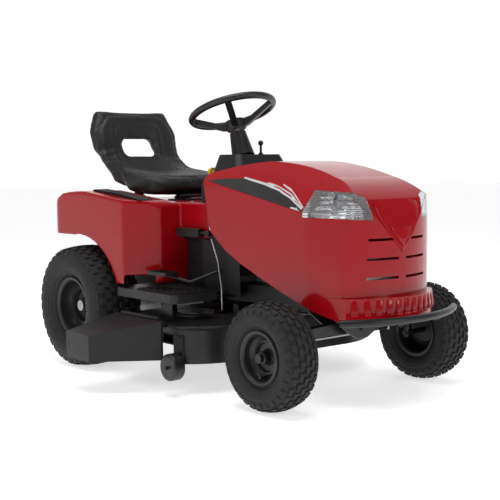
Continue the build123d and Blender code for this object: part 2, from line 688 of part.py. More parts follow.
with BuildPart() as lower_shaft:
    with BuildSketch(Plane.XY.offset(SECTOR_Z - 5)):
        with Locations((LOWER_SHAFT_X, 0)):
            Circle(PINION_R - 1.25 * GEAR_MODULE)
            with PolarLocations(PINION_R - 0.4 * GEAR_MODULE, PINION_TEETH, start_angle=90):
                Rectangle(2.2 * GEAR_MODULE, 1.15 * GEAR_MODULE)
    extrude(amount=6)
    with BuildSketch(Plane.XY.offset(SECTOR_Z)):
        with Locations((LOWER_SHAFT_X, 0)):
            Circle(SHAFT_R)
    extrude(amount=UNIVERSAL_Z - 14 - SECTOR_Z)
    with BuildSketch(Plane.XY.offset(UNIVERSAL_Z - 34)):
        with Locations((LOWER_SHAFT_X, 0)):
            Circle(SHAFT_R + 5)
    extrude(amount=24)
save(lower_shaft, "lower_shaft")

tooth_pitch = 360 / SECTOR_TEETH
with BuildPart() as steering_sector:
    with BuildSketch(Plane.XY.offset(SECTOR_Z - 3)):
        with Locations((LOWER_SHAFT_X, SECTOR_Y)):
            Circle(SECTOR_R - 1.4 * GEAR_MODULE)
            for tooth in range(-7, 7):
                with PolarLocations(SECTOR_R - 0.55 * GEAR_MODULE, 1, -90 + (tooth + 0.5) * tooth_pitch):
                    Rectangle(2.0 * GEAR_MODULE, 1.1 * GEAR_MODULE)
        with Locations((LOWER_SHAFT_X, SECTOR_Y + 40)):
            Rectangle(3 * SECTOR_R, 2 * SECTOR_R - 20, mode=Mode.SUBTRACT)
        with Locations((LOWER_SHAFT_X, SECTOR_Y)):
            Circle(SECTOR_BOLT_R + 12)
        with Locations((LOWER_SHAFT_X, SECTOR_Y + STEER_ARM / 2)):
            Rectangle(20, STEER_ARM)
        with Locations((LOWER_SHAFT_X, SECTOR_Y + STEER_ARM)):
            Circle(11)
    extrude(amount=5)
    with Locations((LOWER_SHAFT_X, SECTOR_Y, SECTOR_Z - 8)):
        Cylinder(SECTOR_BOLT_R + RUN_FIT, 60, mode=Mode.SUBTRACT)
save(steering_sector, "steering_sector")

with BuildPart() as front_axle:
    with BuildSketch(Plane.YZ.offset(WHEELBASE - 16)):
        with BuildLine():
            Polyline((-KINGPIN_Y, 204), (-150, 208), (0, BEAM_Z - 20), (150, 208), (KINGPIN_Y, 204),
                     (KINGPIN_Y, 236), (60, BEAM_Z + 20), (-60, BEAM_Z + 20), (-KINGPIN_Y, 236), close=True)
        make_face()
    extrude(amount=32)
    with Locations((WHEELBASE, 0, BEAM_Z)):
        Cylinder(PIVOT_PIN_R + 9, 2 * BRACKET_X - BRACKET_T - 2, rotation=(0, 90, 0))
    for side in (1, -1):
        with Locations((WHEELBASE, side * KINGPIN_Y, (197 + 264) / 2)):
            Cylinder(BOSS_R, 264 - 197)
        with Locations((WHEELBASE, side * KINGPIN_Y, 230)):
            Cylinder(KINGPIN_R + RUN_FIT, 120, mode=Mode.SUBTRACT)
    with Locations((WHEELBASE, 0, BEAM_Z)):
        Cylinder(PIVOT_PIN_R + RUN_FIT, 200, rotation=(0, 90, 0), mode=Mode.SUBTRACT)
save(front_axle, "front_axle")

STUB_END = FRONT_TRACK_Y + 46
ARM_LOW_Z = 190
for side in (1, -1):
    with BuildPart() as knuckle:
        with BuildSketch(Plane.XY.offset(FRONT_TYRE_R - 14)):
            with Locations((WHEELBASE, side * KINGPIN_Y)):
                Circle(KINGPIN_R)
        extrude(amount=ARM_Z + ARM_T / 2 - FRONT_TYRE_R + 14)
        with BuildSketch(Plane.XZ.offset(-side * (KINGPIN_Y - 12))):
            with Locations((WHEELBASE, FRONT_TYRE_R)):
                Circle(SPINDLE_AXLE_R)
        extrude(amount=-side * (STUB_END - KINGPIN_Y + 12))
        with BuildSketch(Plane.XZ.offset(-side * STUB_END)):
            with Locations((WHEELBASE, FRONT_TYRE_R)):
                Circle(SPINDLE_AXLE_R + 5)
        extrude(amount=-side * 5)
        # rearward arm for the tie rod
        with BuildSketch(Plane.XY.offset(ARM_LOW_Z - ARM_T / 2)):
            with Locations((WHEELBASE - TIE_ARM / 2, side * KINGPIN_Y)):
                Rectangle(TIE_ARM, 18)
            with Locations((WHEELBASE - TIE_ARM, side * KINGPIN_Y)):
                Circle(10)
            with Locations((WHEELBASE, side * KINGPIN_Y)):
                Circle(BOSS_R)
        extrude(amount=ARM_T)
        if side > 0:
            with BuildSketch(Plane.XY.offset(ARM_Z - ARM_T / 2)):
                with Locations((WHEELBASE, KINGPIN_Y - STEER_ARM / 2)):
                    Rectangle(18, STEER_ARM)
                with Locations((WHEELBASE, KINGPIN_Y - STEER_ARM), (WHEELBASE, KINGPIN_Y)):
                    Circle(11)
            extrude(amount=ARM_T)
        else:
            with BuildSketch(Plane.XY.offset(ARM_Z - ARM_T / 2)):
                with Locations((WHEELBASE, -KINGPIN_Y)):
                    Circle(KINGPIN_R + 5)
            extrude(amount=3)
    save(knuckle, f"knuckle_{side_name(side)}")

TIE_Z = ARM_LOW_Z - ARM_T / 2 - GAP - 6
with BuildPart() as tie_rod:
    with BuildSketch(Plane.XZ.offset(-KINGPIN_Y + 4)):
        with Locations((WHEELBASE - TIE_ARM, TIE_Z)):
            Circle(5)
    extrude(amount=2 * KINGPIN_Y - 8)
    for side in (1, -1):
        with Locations((WHEELBASE - TIE_ARM, side * KINGPIN_Y, TIE_Z)):
            Cylinder(9, 12)
save(tie_rod, "tie_rod")

link_front = Vector(WHEELBASE, KINGPIN_Y - STEER_ARM, LINK_Z)
link_rear = Vector(LOWER_SHAFT_X, SECTOR_Y + STEER_ARM, LINK_Z)
link_direction = (link_front - link_rear).normalized()
with BuildPart() as drag_link:
    with BuildSketch(Plane(origin=link_rear, z_dir=link_direction)):
        Circle(LINK_R)
    extrude(amount=(link_front - link_rear).length)
    with Locations(link_front, link_rear):
        Cylinder(7, LINK_EYE_H)
save(drag_link, "drag_link")

# ---------------------------------------------------------------- hood
CREASE_X = 560
CREASE_Z = 703
CREASE_FALL = 10.5
LIP_LOW = 288
LIP_HIGH = 350
LIP_GROW = 34


def hood_roof(inset):
    """Side region under the crown line and behind the nose line."""
    with BuildSketch() as roof:
        with BuildLine():
            rise = ThreePointArc((480, 704), (640, 750), (798, 772))
            crown = ThreePointArc(rise @ 1, (956, 757), (1103, 720))
            brow = ThreePointArc(crown @ 1, (1174, 692), (1225, 652))
            nose = ThreePointArc(brow @ 1, (1254, 562), (HOOD_NOSE_X, 460))
            Polyline(nose @ 1, (1268, 320), (1268, 200), (480, 200), rise @ 0)
        make_face()
        offset(amount=-inset)
    return roof.sketch


def hood_plan(inset, grow):
    """Plan outline: straight sides and a rounded nose."""
    nose = HOOD_NOSE_X + grow
    with BuildSketch() as plan:
        with BuildLine():
            side_line = Line((480, -HOOD_HALF), (1040, -HOOD_HALF + 3))
            cheek = ThreePointArc(side_line @ 1, (1124 + grow * 0.3, -229), (1192 + grow * 0.6, -203))
            front = ThreePointArc(cheek @ 1, (nose, 0), (1192 + grow * 0.6, 203))
            far_cheek = ThreePointArc(front @ 1, (1124 + grow * 0.3, 229), (1040, HOOD_HALF - 3))
            Polyline(far_cheek @ 1, (480, HOOD_HALF), side_line @ 0)
        make_face()
        offset(amount=-inset)
    return plan.sketch


def hood_section(inset):
    """Cross outline with sloping shoulders."""
    with BuildSketch() as section:
        with BuildLine():
            Polyline((-HOOD_HALF, -600), (-HOOD_HALF, 0), (-176, 72), (-120, 130), (120, 130),
                     (176, 72), (HOOD_HALF, 0), (HOOD_HALF, -600), close=True)
        make_face()
        fillet(section.vertices().filter_by(lambda v: v.Y > 100 or abs(v.Y - 72) < 1), 30)
        offset(amount=-inset)
    return section.sketch


def hood_form(inset):
    """Closed body of the hood: side, plan and cross outlines meet; a lip swells at its foot."""
    roof = hood_roof(inset)
    plan = hood_plan(inset, 0)
    lip_plan = hood_plan(inset, LIP_GROW)
    section = hood_section(inset)
    fall = math.radians(CREASE_FALL)
    tilted = Plane(origin=(CREASE_X, 0, CREASE_Z), x_dir=(0, 1, 0), z_dir=(math.cos(fall), 0, -math.sin(fall)))
    with BuildPart() as cross_body:
        with BuildSketch(tilted.offset(-200)):
            add(section)
        extrude(amount=1200)
    with BuildPart() as roof_body:
        with BuildSketch(side_plane(400)):
            add(roof)
        extrude(amount=800)
    with BuildPart() as form:
        with BuildSketch(Plane.XY.offset(200)):
            add(plan)
        extrude(amount=640)
        add(roof_body.part, mode=Mode.INTERSECT)
        add(cross_body.part, mode=Mode.INTERSECT)
        with BuildSketch(Plane.XY.offset(200)):
            add(lip_plan)
        extrude(amount=LIP_HIGH - inset - 200)
    return form.part


with BuildPart() as below_hood:
    with BuildSketch(side_plane(600)):
        with BuildLine():
            Polyline((400, 900), (558, 900), (560, 703), (595, 533), (676, 471), (757, 430), (857, 390),
                     (955, 353), (1093, 306), (1203, LIP_LOW - 12), (1400, LIP_LOW + 6), (1400, 100),
                     (400, 100), close=True)
        make_face()
    extrude(amount=1200)

hood_skin = hood_form(0)
hood_hollow = hood_form(HOOD_WALL)
hood_lens_back = hood_form(HOOD_WALL - 1)
hood_bowl = hood_form(HOOD_WALL + 24)
hood_bowl_back = hood_form(HOOD_WALL + 28)


def lamp_prism(margin):
    """Front outline of the two headlamps, run through the hood from front to rear."""
    with BuildPart() as prism:
        for side in (1, -1):
            with BuildSketch(Plane.YZ.offset(1056 + margin)):
                with BuildLine():
                    Polyline((side * 260, 690), (side * 260, 598), (side * 112, 588), (side * 128, 660),
                             (side * 200, 690), close=True)
                make_face()
                if margin:
                    offset(amount=-margin)
            extrude(amount=240)
    return prism.part


def vent_prism(margin):
    with BuildPart() as prism:
        with BuildSketch(Plane.XY.offset(700)):
            with Locations((738, 0)):
                RectangleRounded(160 - 2 * margin, 190 - 2 * margin, 20)
        extrude(amount=120)
    return prism.part


lamp_hole = lamp_prism(0)
vent_hole = vent_prism(0)
with BuildPart() as hood:
    add(hood_skin)
    add(hood_hollow, mode=Mode.SUBTRACT)
    # the roof ends in front of the dash pod
    with Locations((DASH_FRONT + 6 - 150, 0, DASH_BASE_Z + 100)):
        Box(300, 2 * (DASH_HALF + 8), 200, mode=Mode.SUBTRACT)
    add(below_hood.part, mode=Mode.SUBTRACT)
    add(lamp_hole, mode=Mode.SUBTRACT)
    add(vent_hole, mode=Mode.SUBTRACT)
    for z, reach in ((528, 112), (468, 116), (408, 118)):
        for side in (1, -1):
            with Locations((1240, side * (16 + reach / 2), z)):
                Box(90, reach, 8, mode=Mode.SUBTRACT)
    # hinge arms inside the nose
    for side in (1, -1):
        with BuildSketch(side_plane(side * HOOD_ARM_Y)):
            with BuildLine():
                Polyline((HOOD_PIVOT_X - 10, HOOD_PIVOT_Z - 10), (HOOD_PIVOT_X + 10, HOOD_PIVOT_Z - 10),
                         (HOOD_PIVOT_X + 27, HOOD_PIVOT_Z - 4), (HOOD_PIVOT_X + 27, LIP_HIGH - 2),
                         (HOOD_PIVOT_X - 6, LIP_HIGH - 2), close=True)
            make_face()
        extrude(amount=3, both=True)
        with Locations((HOOD_PIVOT_X, side * HOOD_ARM_Y, HOOD_PIVOT_Z)):
            Cylinder(HOOD_PIN_R + RUN_FIT, 12, rotation=(90, 0, 0), mode=Mode.SUBTRACT)
save(hood, "hood")

with BuildPart() as hood_vent:
    add(hood_skin)
    add(hood_hollow, mode=Mode.SUBTRACT)
    add(vent_prism(GAP), mode=Mode.INTERSECT)
save(hood_vent, "hood_vent")

with BuildPart() as headlight_lenses:
    add(hood_skin)
    add(hood_lens_back, mode=Mode.SUBTRACT)
    add(lamp_prism(GAP), mode=Mode.INTERSECT)
save(headlight_lenses, "headlight_lenses")

with BuildPart() as lamp_housings:
    add(hood_bowl)
    add(hood_bowl_back, mode=Mode.SUBTRACT)
    add(lamp_hole, mode=Mode.INTERSECT)
save(lamp_housings, "lamp_housings")

# ---------------------------------------------------------------- seat
SEAT_FRONT = 228
SEAT_TOP = 995
SPRING_X = -36
SPRING_Y = 100
SPRING_TOP = 684

with BuildPart() as seat_cushion:
    with BuildSketch(side_plane(SEAT_HALF)):
        with BuildLine():
            under = Polyline((SEAT_FRONT, 668), (205, 654), (40, 660), (SPRING_X + 30, SPRING_TOP + 2),
                             (SPRING_X - 30, SPRING_TOP + 4), (-130, 742), (-214, 824))
            rear = ThreePointArc(under @ 1, (-246, 898), (-264, 975))
            crest = ThreePointArc(rear @ 1, (-246, SEAT_TOP), (-222, 985))
            face = Line(crest @ 1, (-184, 850))
            lap = ThreePointArc(face @ 1, (-140, 772), (-60, 738))
            pan = Line(lap @ 1, (170, 718))
            brink = ThreePointArc(pan @ 1, (212, 708), (SEAT_FRONT, 684))
            Line(brink @ 1, under @ 0)
        make_face()
    extrude(amount=2 * SEAT_HALF)
    with BuildSketch(Plane.YZ.offset(-400)):
        with BuildLine():
            Polyline((-SEAT_HALF, 600), (-SEAT_HALF, 905), (-SEAT_HALF + 40, SEAT_TOP + 2),
                     (SEAT_HALF - 40, SEAT_TOP + 2), (SEAT_HALF, 905), (SEAT_HALF, 600), close=True)
        frame_face = make_face()
        fillet(frame_face.vertices().filter_by(lambda v: v.Z > 700), 50)
    extrude(amount=800, mode=Mode.INTERSECT)
    with BuildSketch(Plane.XY.offset(500)):
        with Locations((-50, 0)):
            RectangleRounded(556, 2 * SEAT_HALF, 70)
    extrude(amount=600, mode=Mode.INTERSECT)
    with BuildSketch(Plane.YZ.offset(-320)):
        with Locations((0, 832)):
            RectangleRounded(150, 66, 20)
    extrude(amount=240, mode=Mode.SUBTRACT)
save(seat_cushion, "seat_cushion")

PLATE_T = 4
with BuildPart() as seat_bracket:
    with Locations((117, 0, SEAT_PIN_Z + SEAT_PIN_R + PLATE_T)):
        Box(150, 240, PLATE_T)
    for side in (1, -1):
        with Locations((SEAT_PIN_X, side * 46, SEAT_PIN_Z)):
            Cylinder(SEAT_PIN_R + 3.5, 24, rotation=(90, 0, 0))
        with Locations((SEAT_PIN_X - 14, side * 46, SEAT_PIN_Z + SEAT_PIN_R + PLATE_T - 2)):
            Box(30, 24, PLATE_T + 2)
    with Locations((SEAT_PIN_X, 0, SEAT_PIN_Z)):
        Cylinder(SEAT_PIN_R + RUN_FIT, 300, rotation=(90, 0, 0), mode=Mode.SUBTRACT)
save(seat_bracket, "seat_bracket")

with BuildPart() as seat_pivot:
    with Locations((SEAT_PIN_X - 20, 0, SEAT_DECK_Z + 2)):
        Box(90, 190, 4)
    for side in (1, -1):
        with Locations((SEAT_PIN_X, side * 72, (SEAT_DECK_Z + 4 + SEAT_PIN_Z) / 2)):
            Box(14, 20, SEAT_PIN_Z - SEAT_DECK_Z - 2)
        with Locations((SEAT_PIN_X, side * 72, SEAT_PIN_Z)):
            Cylinder(SEAT_PIN_R + 3.5, 20, rotation=(90, 0, 0))
    with Locations((SEAT_PIN_X, 0, SEAT_PIN_Z)):
        Cylinder(SEAT_PIN_R, 180, rotation=(90, 0, 0))
save(seat_pivot, "seat_pivot")

SPRING_WIRE_R = 4
SPRING_COIL_R = 17
with BuildPart() as seat_springs:
    for side in (1, -1):
        height = SPRING_TOP - SEAT_DECK_Z - 2 * SPRING_WIRE_R
        with Locations((SPRING_X, side * SPRING_Y, (SEAT_DECK_Z + SPRING_TOP) / 2)):
            Cylinder(SPRING_COIL_R - SPRING_WIRE_R / 2, SPRING_TOP - SEAT_DECK_Z)
        turns = 6
        for turn in range(turns):
            z = SEAT_DECK_Z + SPRING_WIRE_R + height * turn / (turns - 1)
            with Locations((SPRING_X, side * SPRING_Y, z)):
                Torus(SPRING_COIL_R, SPRING_WIRE_R)
        with Locations((SPRING_X, side * SPRING_Y, SPRING_TOP - 2)):
            Cylinder(SPRING_COIL_R + 2, 4)
        with Locations((SPRING_X, side * SPRING_Y, SEAT_DECK_Z + 2)):
            Cylinder(SPRING_COIL_R + 6, 4)
save(seat_springs, "seat_springs")

# ---------------------------------------------------------------- mower deck
SPINDLE_LOW = 112
HOUSING_R = 30
deck_outline = belt_outline([blade_centres[0], blade_centres[1]], [DECK_R, DECK_R], 0)
deck_inside = belt_outline([blade_centres[0], blade_centres[1]], [DECK_R, DECK_R], -DECK_WALL)
with BuildPart() as deck_shell:
    with BuildSketch(Plane.XY.offset(DECK_BOTTOM)):
        add(deck_outline)
    extrude(amount=DECK_TOP - DECK_BOTTOM)
    fillet(deck_shell.faces().sort_by(Axis.Z)[-1].edges(), 14)
    with BuildSketch(Plane.XY.offset(DECK_BOTTOM - 5)):
        add(deck_inside)
    extrude(amount=DECK_TOP - DECK_WALL - DECK_BOTTOM + 5, mode=Mode.SUBTRACT)
    with Locations((DECK_X_RIGHT, CHUTE_Y - 100, DECK_TOP - 50)):
        Box(700, 200, 300, mode=Mode.SUBTRACT)
    # flat right-hand wall with the discharge opening
    wall_half = math.sqrt(DECK_R ** 2 - (CHUTE_Y + BLADE_SPACING_Y) ** 2) - 6
    with Locations((DECK_X_RIGHT, CHUTE_Y + DECK_WALL / 2, (DECK_TOP + DECK_BOTTOM - 8) / 2)):
        Box(2 * wall_half, DECK_WALL, DECK_TOP - DECK_BOTTOM - 8)
    with Locations((DECK_X_RIGHT, CHUTE_Y, (DECK_TOP - 26 + DECK_BOTTOM - 5) / 2)):
        Box(2 * CHUTE_HALF, 40, DECK_TOP - 26 - DECK_BOTTOM + 5, mode=Mode.SUBTRACT)
    # spindle housings
    for centre in blade_centres:
        with BuildSketch(Plane.XY.offset(DECK_TOP - 50)):
            with Locations(centre):
                Circle(HOUSING_R)
        extrude(amount=52)
        with Locations((centre[0], centre[1], DECK_TOP - 20)):
            Cylinder(SPINDLE_R + RUN_FIT, 90, mode=Mode.SUBTRACT)
    # ears of the deflector hinge with their rod
    for x in (350, 600):
        with Locations((x, CHUTE_Y - 4, DECK_TOP - 2)):
            Box(8, 24, 14)
    # hanger links up to the frame
    for side in (1, -1):
        for x in (345, 700):
            with Locations((x, side * 214, (DECK_TOP - 4 + RAIL_BOTTOM - 4) / 2)):
                Box(22, 5, RAIL_BOTTOM - 4 - DECK_TOP + 4)
    # stem of the gauge wheel
    with Locations((676, CHUTE_Y - 1, 140)):
        Box(40, 6, 120)
    with Locations((676, CHUTE_Y - 30, 100)):
        Cylinder(6, 60, rotation=(90, 0, 0))
save(deck_shell, "deck_shell")

for centre, tag in zip(blade_centres, ("right", "left")):
    with BuildPart() as spindle:
        with BuildSketch(Plane(origin=(centre[0], centre[1], 0), x_dir=(1, 0, 0), z_dir=(0, -1, 0))):
            pulley_profile(BLADE_BELT_Z, SPINDLE_PULLEY_R)
            with Locations((SPINDLE_R / 2, (SPINDLE_LOW + BLADE_BELT_Z + 6) / 2)):
                Rectangle(SPINDLE_R, BLADE_BELT_Z + 6 - SPINDLE_LOW)
            with Locations((8, SPINDLE_LOW - 4)):
                Rectangle(16, 8)
        revolve(axis=Axis((centre[0], centre[1], 0), (0, 0, 1)))
    save(spindle, f"spindle_{tag}")
    with BuildPart() as blade:
        with BuildSketch(Plane.XY.offset(SPINDLE_LOW + GAP)):
            with Locations(centre):
                Rectangle(2 * BLADE_R - 4, 52)
        extrude(amount=5)
        for end in (-1, 1):
            with Locations((centre[0] + end * (BLADE_R - 60), centre[1] - end * 22, SPINDLE_LOW + 12)):
                Box(100, 6, 20)
        with Locations((centre[0], centre[1], SPINDLE_LOW)):
            Cylinder(SPINDLE_R + RUN_FIT, 40, mode=Mode.SUBTRACT)
    save(blade, f"blade_{tag}")

DEFLECTOR_HINGE_Y = CHUTE_Y - 18
DEFLECTOR_HINGE_Z = DECK_TOP + 14
DEFLECTOR_FALL = 12
DEFLECTOR_WALL = 4
DEFLECTOR_LOW = 112


def deflector_plan(inset):
    """Plan of the deflector: hinge side inboard, slanted front, open rear."""
    reach = 30 if inset else 0
    with BuildSketch() as plan:
        with BuildLine():
            Polyline((325 - reach, DEFLECTOR_HINGE_Y + reach), (610 - inset * 1.3, DEFLECTOR_HINGE_Y + reach),
                     (610 - inset * 1.3, DEFLECTOR_HINGE_Y - 8), (468 - inset, DEFLECTOR_OUT_Y + inset),
                     (325 - reach, DEFLECTOR_OUT_Y + inset), close=True)
        make_face()
    return plan.sketch


fall = math.radians(DEFLECTOR_FALL)
roof_plane = Plane(origin=(0, DEFLECTOR_HINGE_Y, DEFLECTOR_HINGE_Z), x_dir=(1, 0, 0),
                   z_dir=(0, -math.sin(fall), math.cos(fall)))
chute_skin_plan = deflector_plan(0)
chute_hollow_plan = deflector_plan(DEFLECTOR_WALL)
with BuildPart() as chute_hollow:
    with BuildSketch(Plane.XY.offset(DEFLECTOR_LOW - 10)):
        add(chute_hollow_plan)
    extrude(amount=200)
    split(bisect_by=roof_plane.offset(-DEFLECTOR_WALL), keep=Keep.BOTTOM)
with BuildPart() as deflector:
    with BuildSketch(Plane.XY.offset(DEFLECTOR_LOW)):
        add(chute_skin_plan)
    extrude(amount=200)
    split(bisect_by=roof_plane, keep=Keep.BOTTOM)
    add(chute_hollow.part, mode=Mode.SUBTRACT)
    with Locations((475, DEFLECTOR_HINGE_Y + 2, DEFLECTOR_HINGE_Z + 4)):
        Cylinder(7, 220, rotation=(0, 90, 0))
save(deflector, "deflector")

with BuildPart() as gauge_wheel:
    with Locations((676, CHUTE_Y - 28, 100)):
        Cylinder(GAUGE_WHEEL_R, GAUGE_WHEEL_W - 12, rotation=(90, 0, 0))
    fillet(gauge_wheel.edges(), 8)
    with Locations((676, CHUTE_Y - 28, 100)):
        Cylinder(6 + RUN_FIT, GAUGE_WHEEL_W, rotation=(90, 0, 0), mode=Mode.SUBTRACT)
save(gauge_wheel, "gauge_wheel")

# ---------------------------------------------------------------- controls
LEVER_X = 556
LEVER_Y = -219
LEVER_Z = 521
LEVER_ROD_R = 6
with BuildPart() as lift_lever:
    with Locations((LEVER_X, LEVER_Y, LEVER_Z)):
        Cylinder(12, 12, rotation=(90, 0, 0))
    with Locations((LEVER_X - 40, LEVER_Y, LEVER_Z + 1)):
        Cylinder(LEVER_ROD_R, 80, rotation=(0, 90, 0))
    with Locations((LEVER_X - 104, LEVER_Y, LEVER_Z + 1)):
        Box(130, 24, 30)
    fillet(lift_lever.edges().filter_by(Axis.X).group_by(Axis.Z)[-1], 8)
    with Locations((LEVER_X, LEVER_Y + 10, LEVER_Z)):
        Cylinder(6, 12, rotation=(90, 0, 0))
save(lift_lever, "lift_lever")

rod_points = [(LEVER_X + 20, LEVER_Y, LEVER_Z - 18), (LEVER_X + 54, LEVER_Y, LEVER_Z - 92),
              (LEVER_X + 72, LEVER_Y, LEVER_Z - 180), (LEVER_X + 74, LEVER_Y, LEVER_Z - 262)]
with BuildPart() as lift_rod:
    with BuildLine():
        route = FilletPolyline(*rod_points, radius=60)
    with BuildSketch(Plane(origin=route @ 0, z_dir=route % 0)):
        Circle(3)
    sweep()
save(lift_rod, "lift_rod")

for side, tag in ((-1, "drive"), (1, "brake")):
    pad_x = 450 if side < 0 else 520
    pad_z = 384 if side < 0 else 410
    path = [(PEDAL_X, side * (CONSOLE_HALF - 14), PEDAL_Z), (PEDAL_X, side * (CONSOLE_HALF + 4), PEDAL_Z),
            (PEDAL_X - 46, side * (CONSOLE_HALF + 96), PEDAL_Z - 36), (pad_x, side * 330, pad_z - 6)]
    with BuildPart() as pedal:
        with BuildLine():
            route = FilletPolyline(*path, radius=14)
        with BuildSketch(Plane(origin=route @ 0, z_dir=route % 0)):
            Circle(PEDAL_ROD_R)
        sweep()
        with Locations((pad_x, side * 342, pad_z)):
            Box(112, 62, 12)
        fillet(pedal.edges().filter_by(Axis.Z), 8)
        for rib in range(6):
            with Locations((pad_x - 42 + rib * 17, side * 342, pad_z + 7)):
                Box(6, 50, 3)
    save(pedal, f"{tag}_pedal")

dash_lean = math.atan2(DASH_SLOPE, DASH_TOP_Z - DASH_BASE_Z)
rear_face_x = DASH_REAR + (KNOB_Z - DASH_BASE_Z) * math.tan(dash_lean)
with BuildPart() as pto_knob:
    with Locations((rear_face_x - 8, KNOB_Y, KNOB_Z)):
        Cylinder(KNOB_ROD_R, 34, rotation=(0, 90, 0))
    with Locations((rear_face_x - 32, KNOB_Y, KNOB_Z)):
        Cylinder(17, 18, rotation=(0, 90, 0))
    fillet(pto_knob.edges().group_by(Axis.X)[0], 6)
save(pto_knob, "pto_knob")

with BuildPart() as ignition_key:
    with Locations((rear_face_x - 4, KEY_Y, KNOB_Z)):
        Cylinder(KEY_ROD_R, 24, rotation=(0, 90, 0))
    with Locations((rear_face_x - 28, KEY_Y, KNOB_Z)):
        Box(28, 4, 26)
save(ignition_key, "ignition_key")

with BuildPart() as throttle_lever:
    with Locations((THROTTLE_X, THROTTLE_Y, DASH_TOP_Z - 2)):
        Cylinder(10, 8, rotation=(90, 0, 0))
    with Locations((THROTTLE_X, THROTTLE_Y, DASH_TOP_Z + 20)):
        Box(7, 6, 40)
    with Locations((THROTTLE_X, THROTTLE_Y, DASH_TOP_Z + 42)):
        Sphere(10)
save(throttle_lever, "throttle_lever")

lead_points = [(1072, -182, 322), (1046, -182, 346), (1010, -174, 368), (968, -152, 388), (930, -124, 404)]
with BuildPart() as lamp_lead:
    with BuildLine():
        lead = FilletPolyline(*lead_points, radius=30)
    with BuildSketch(Plane(origin=lead @ 0, z_dir=lead % 0)):
        Circle(3.5)
    sweep()
    with Locations((1082, -182, 312)):
        Box(34, 18, 20)
save(lamp_lead, "lamp_lead")
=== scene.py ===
"""Looks of a riding lawn mower: finishes, tyres, wheels, seat, lamps, hood trim, studio.

Lengths in the classes are millimetres from the middle of the rear axle, X forward,
Y to the machine's left, Z up from the ground. The function at() turns such a point
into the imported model's frame in metres.
"""

import json
import logging
import math
from dataclasses import dataclass, field
from enum import Enum
from typing import Sequence

import bpy
from mathutils import Matrix, Vector

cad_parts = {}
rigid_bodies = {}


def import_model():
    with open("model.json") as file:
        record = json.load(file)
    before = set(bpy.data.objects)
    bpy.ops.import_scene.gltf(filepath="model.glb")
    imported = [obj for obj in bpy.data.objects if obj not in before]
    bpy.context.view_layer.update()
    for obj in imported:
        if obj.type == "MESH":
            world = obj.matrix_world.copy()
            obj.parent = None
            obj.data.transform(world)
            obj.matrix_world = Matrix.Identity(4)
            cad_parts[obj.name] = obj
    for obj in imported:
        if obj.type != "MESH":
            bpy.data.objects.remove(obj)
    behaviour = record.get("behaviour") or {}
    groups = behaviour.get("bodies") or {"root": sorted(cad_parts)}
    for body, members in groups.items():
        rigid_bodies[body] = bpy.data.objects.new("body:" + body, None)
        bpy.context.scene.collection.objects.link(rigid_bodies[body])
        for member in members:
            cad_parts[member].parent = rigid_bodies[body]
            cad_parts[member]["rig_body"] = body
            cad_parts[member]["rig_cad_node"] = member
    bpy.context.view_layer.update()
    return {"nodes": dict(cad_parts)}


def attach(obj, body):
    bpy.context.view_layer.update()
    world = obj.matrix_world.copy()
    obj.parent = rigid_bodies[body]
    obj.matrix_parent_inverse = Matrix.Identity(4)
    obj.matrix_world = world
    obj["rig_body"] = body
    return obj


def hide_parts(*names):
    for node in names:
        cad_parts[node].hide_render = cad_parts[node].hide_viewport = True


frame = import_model()

log = logging.getLogger("mower")

Colour = tuple[float, float, float]
Point2 = tuple[float, float]

MM = 0.001
DOUBLE_REACH = 0.00002
AXLE_SHIFT = Vector((-0.543, 0.080, 0.0))


def at(x: float, y: float, z: float) -> Vector:
    """A point given in millimetres from the rear axle's middle, in the frame in metres."""
    return Vector((x, y, z)) * MM + AXLE_SHIFT


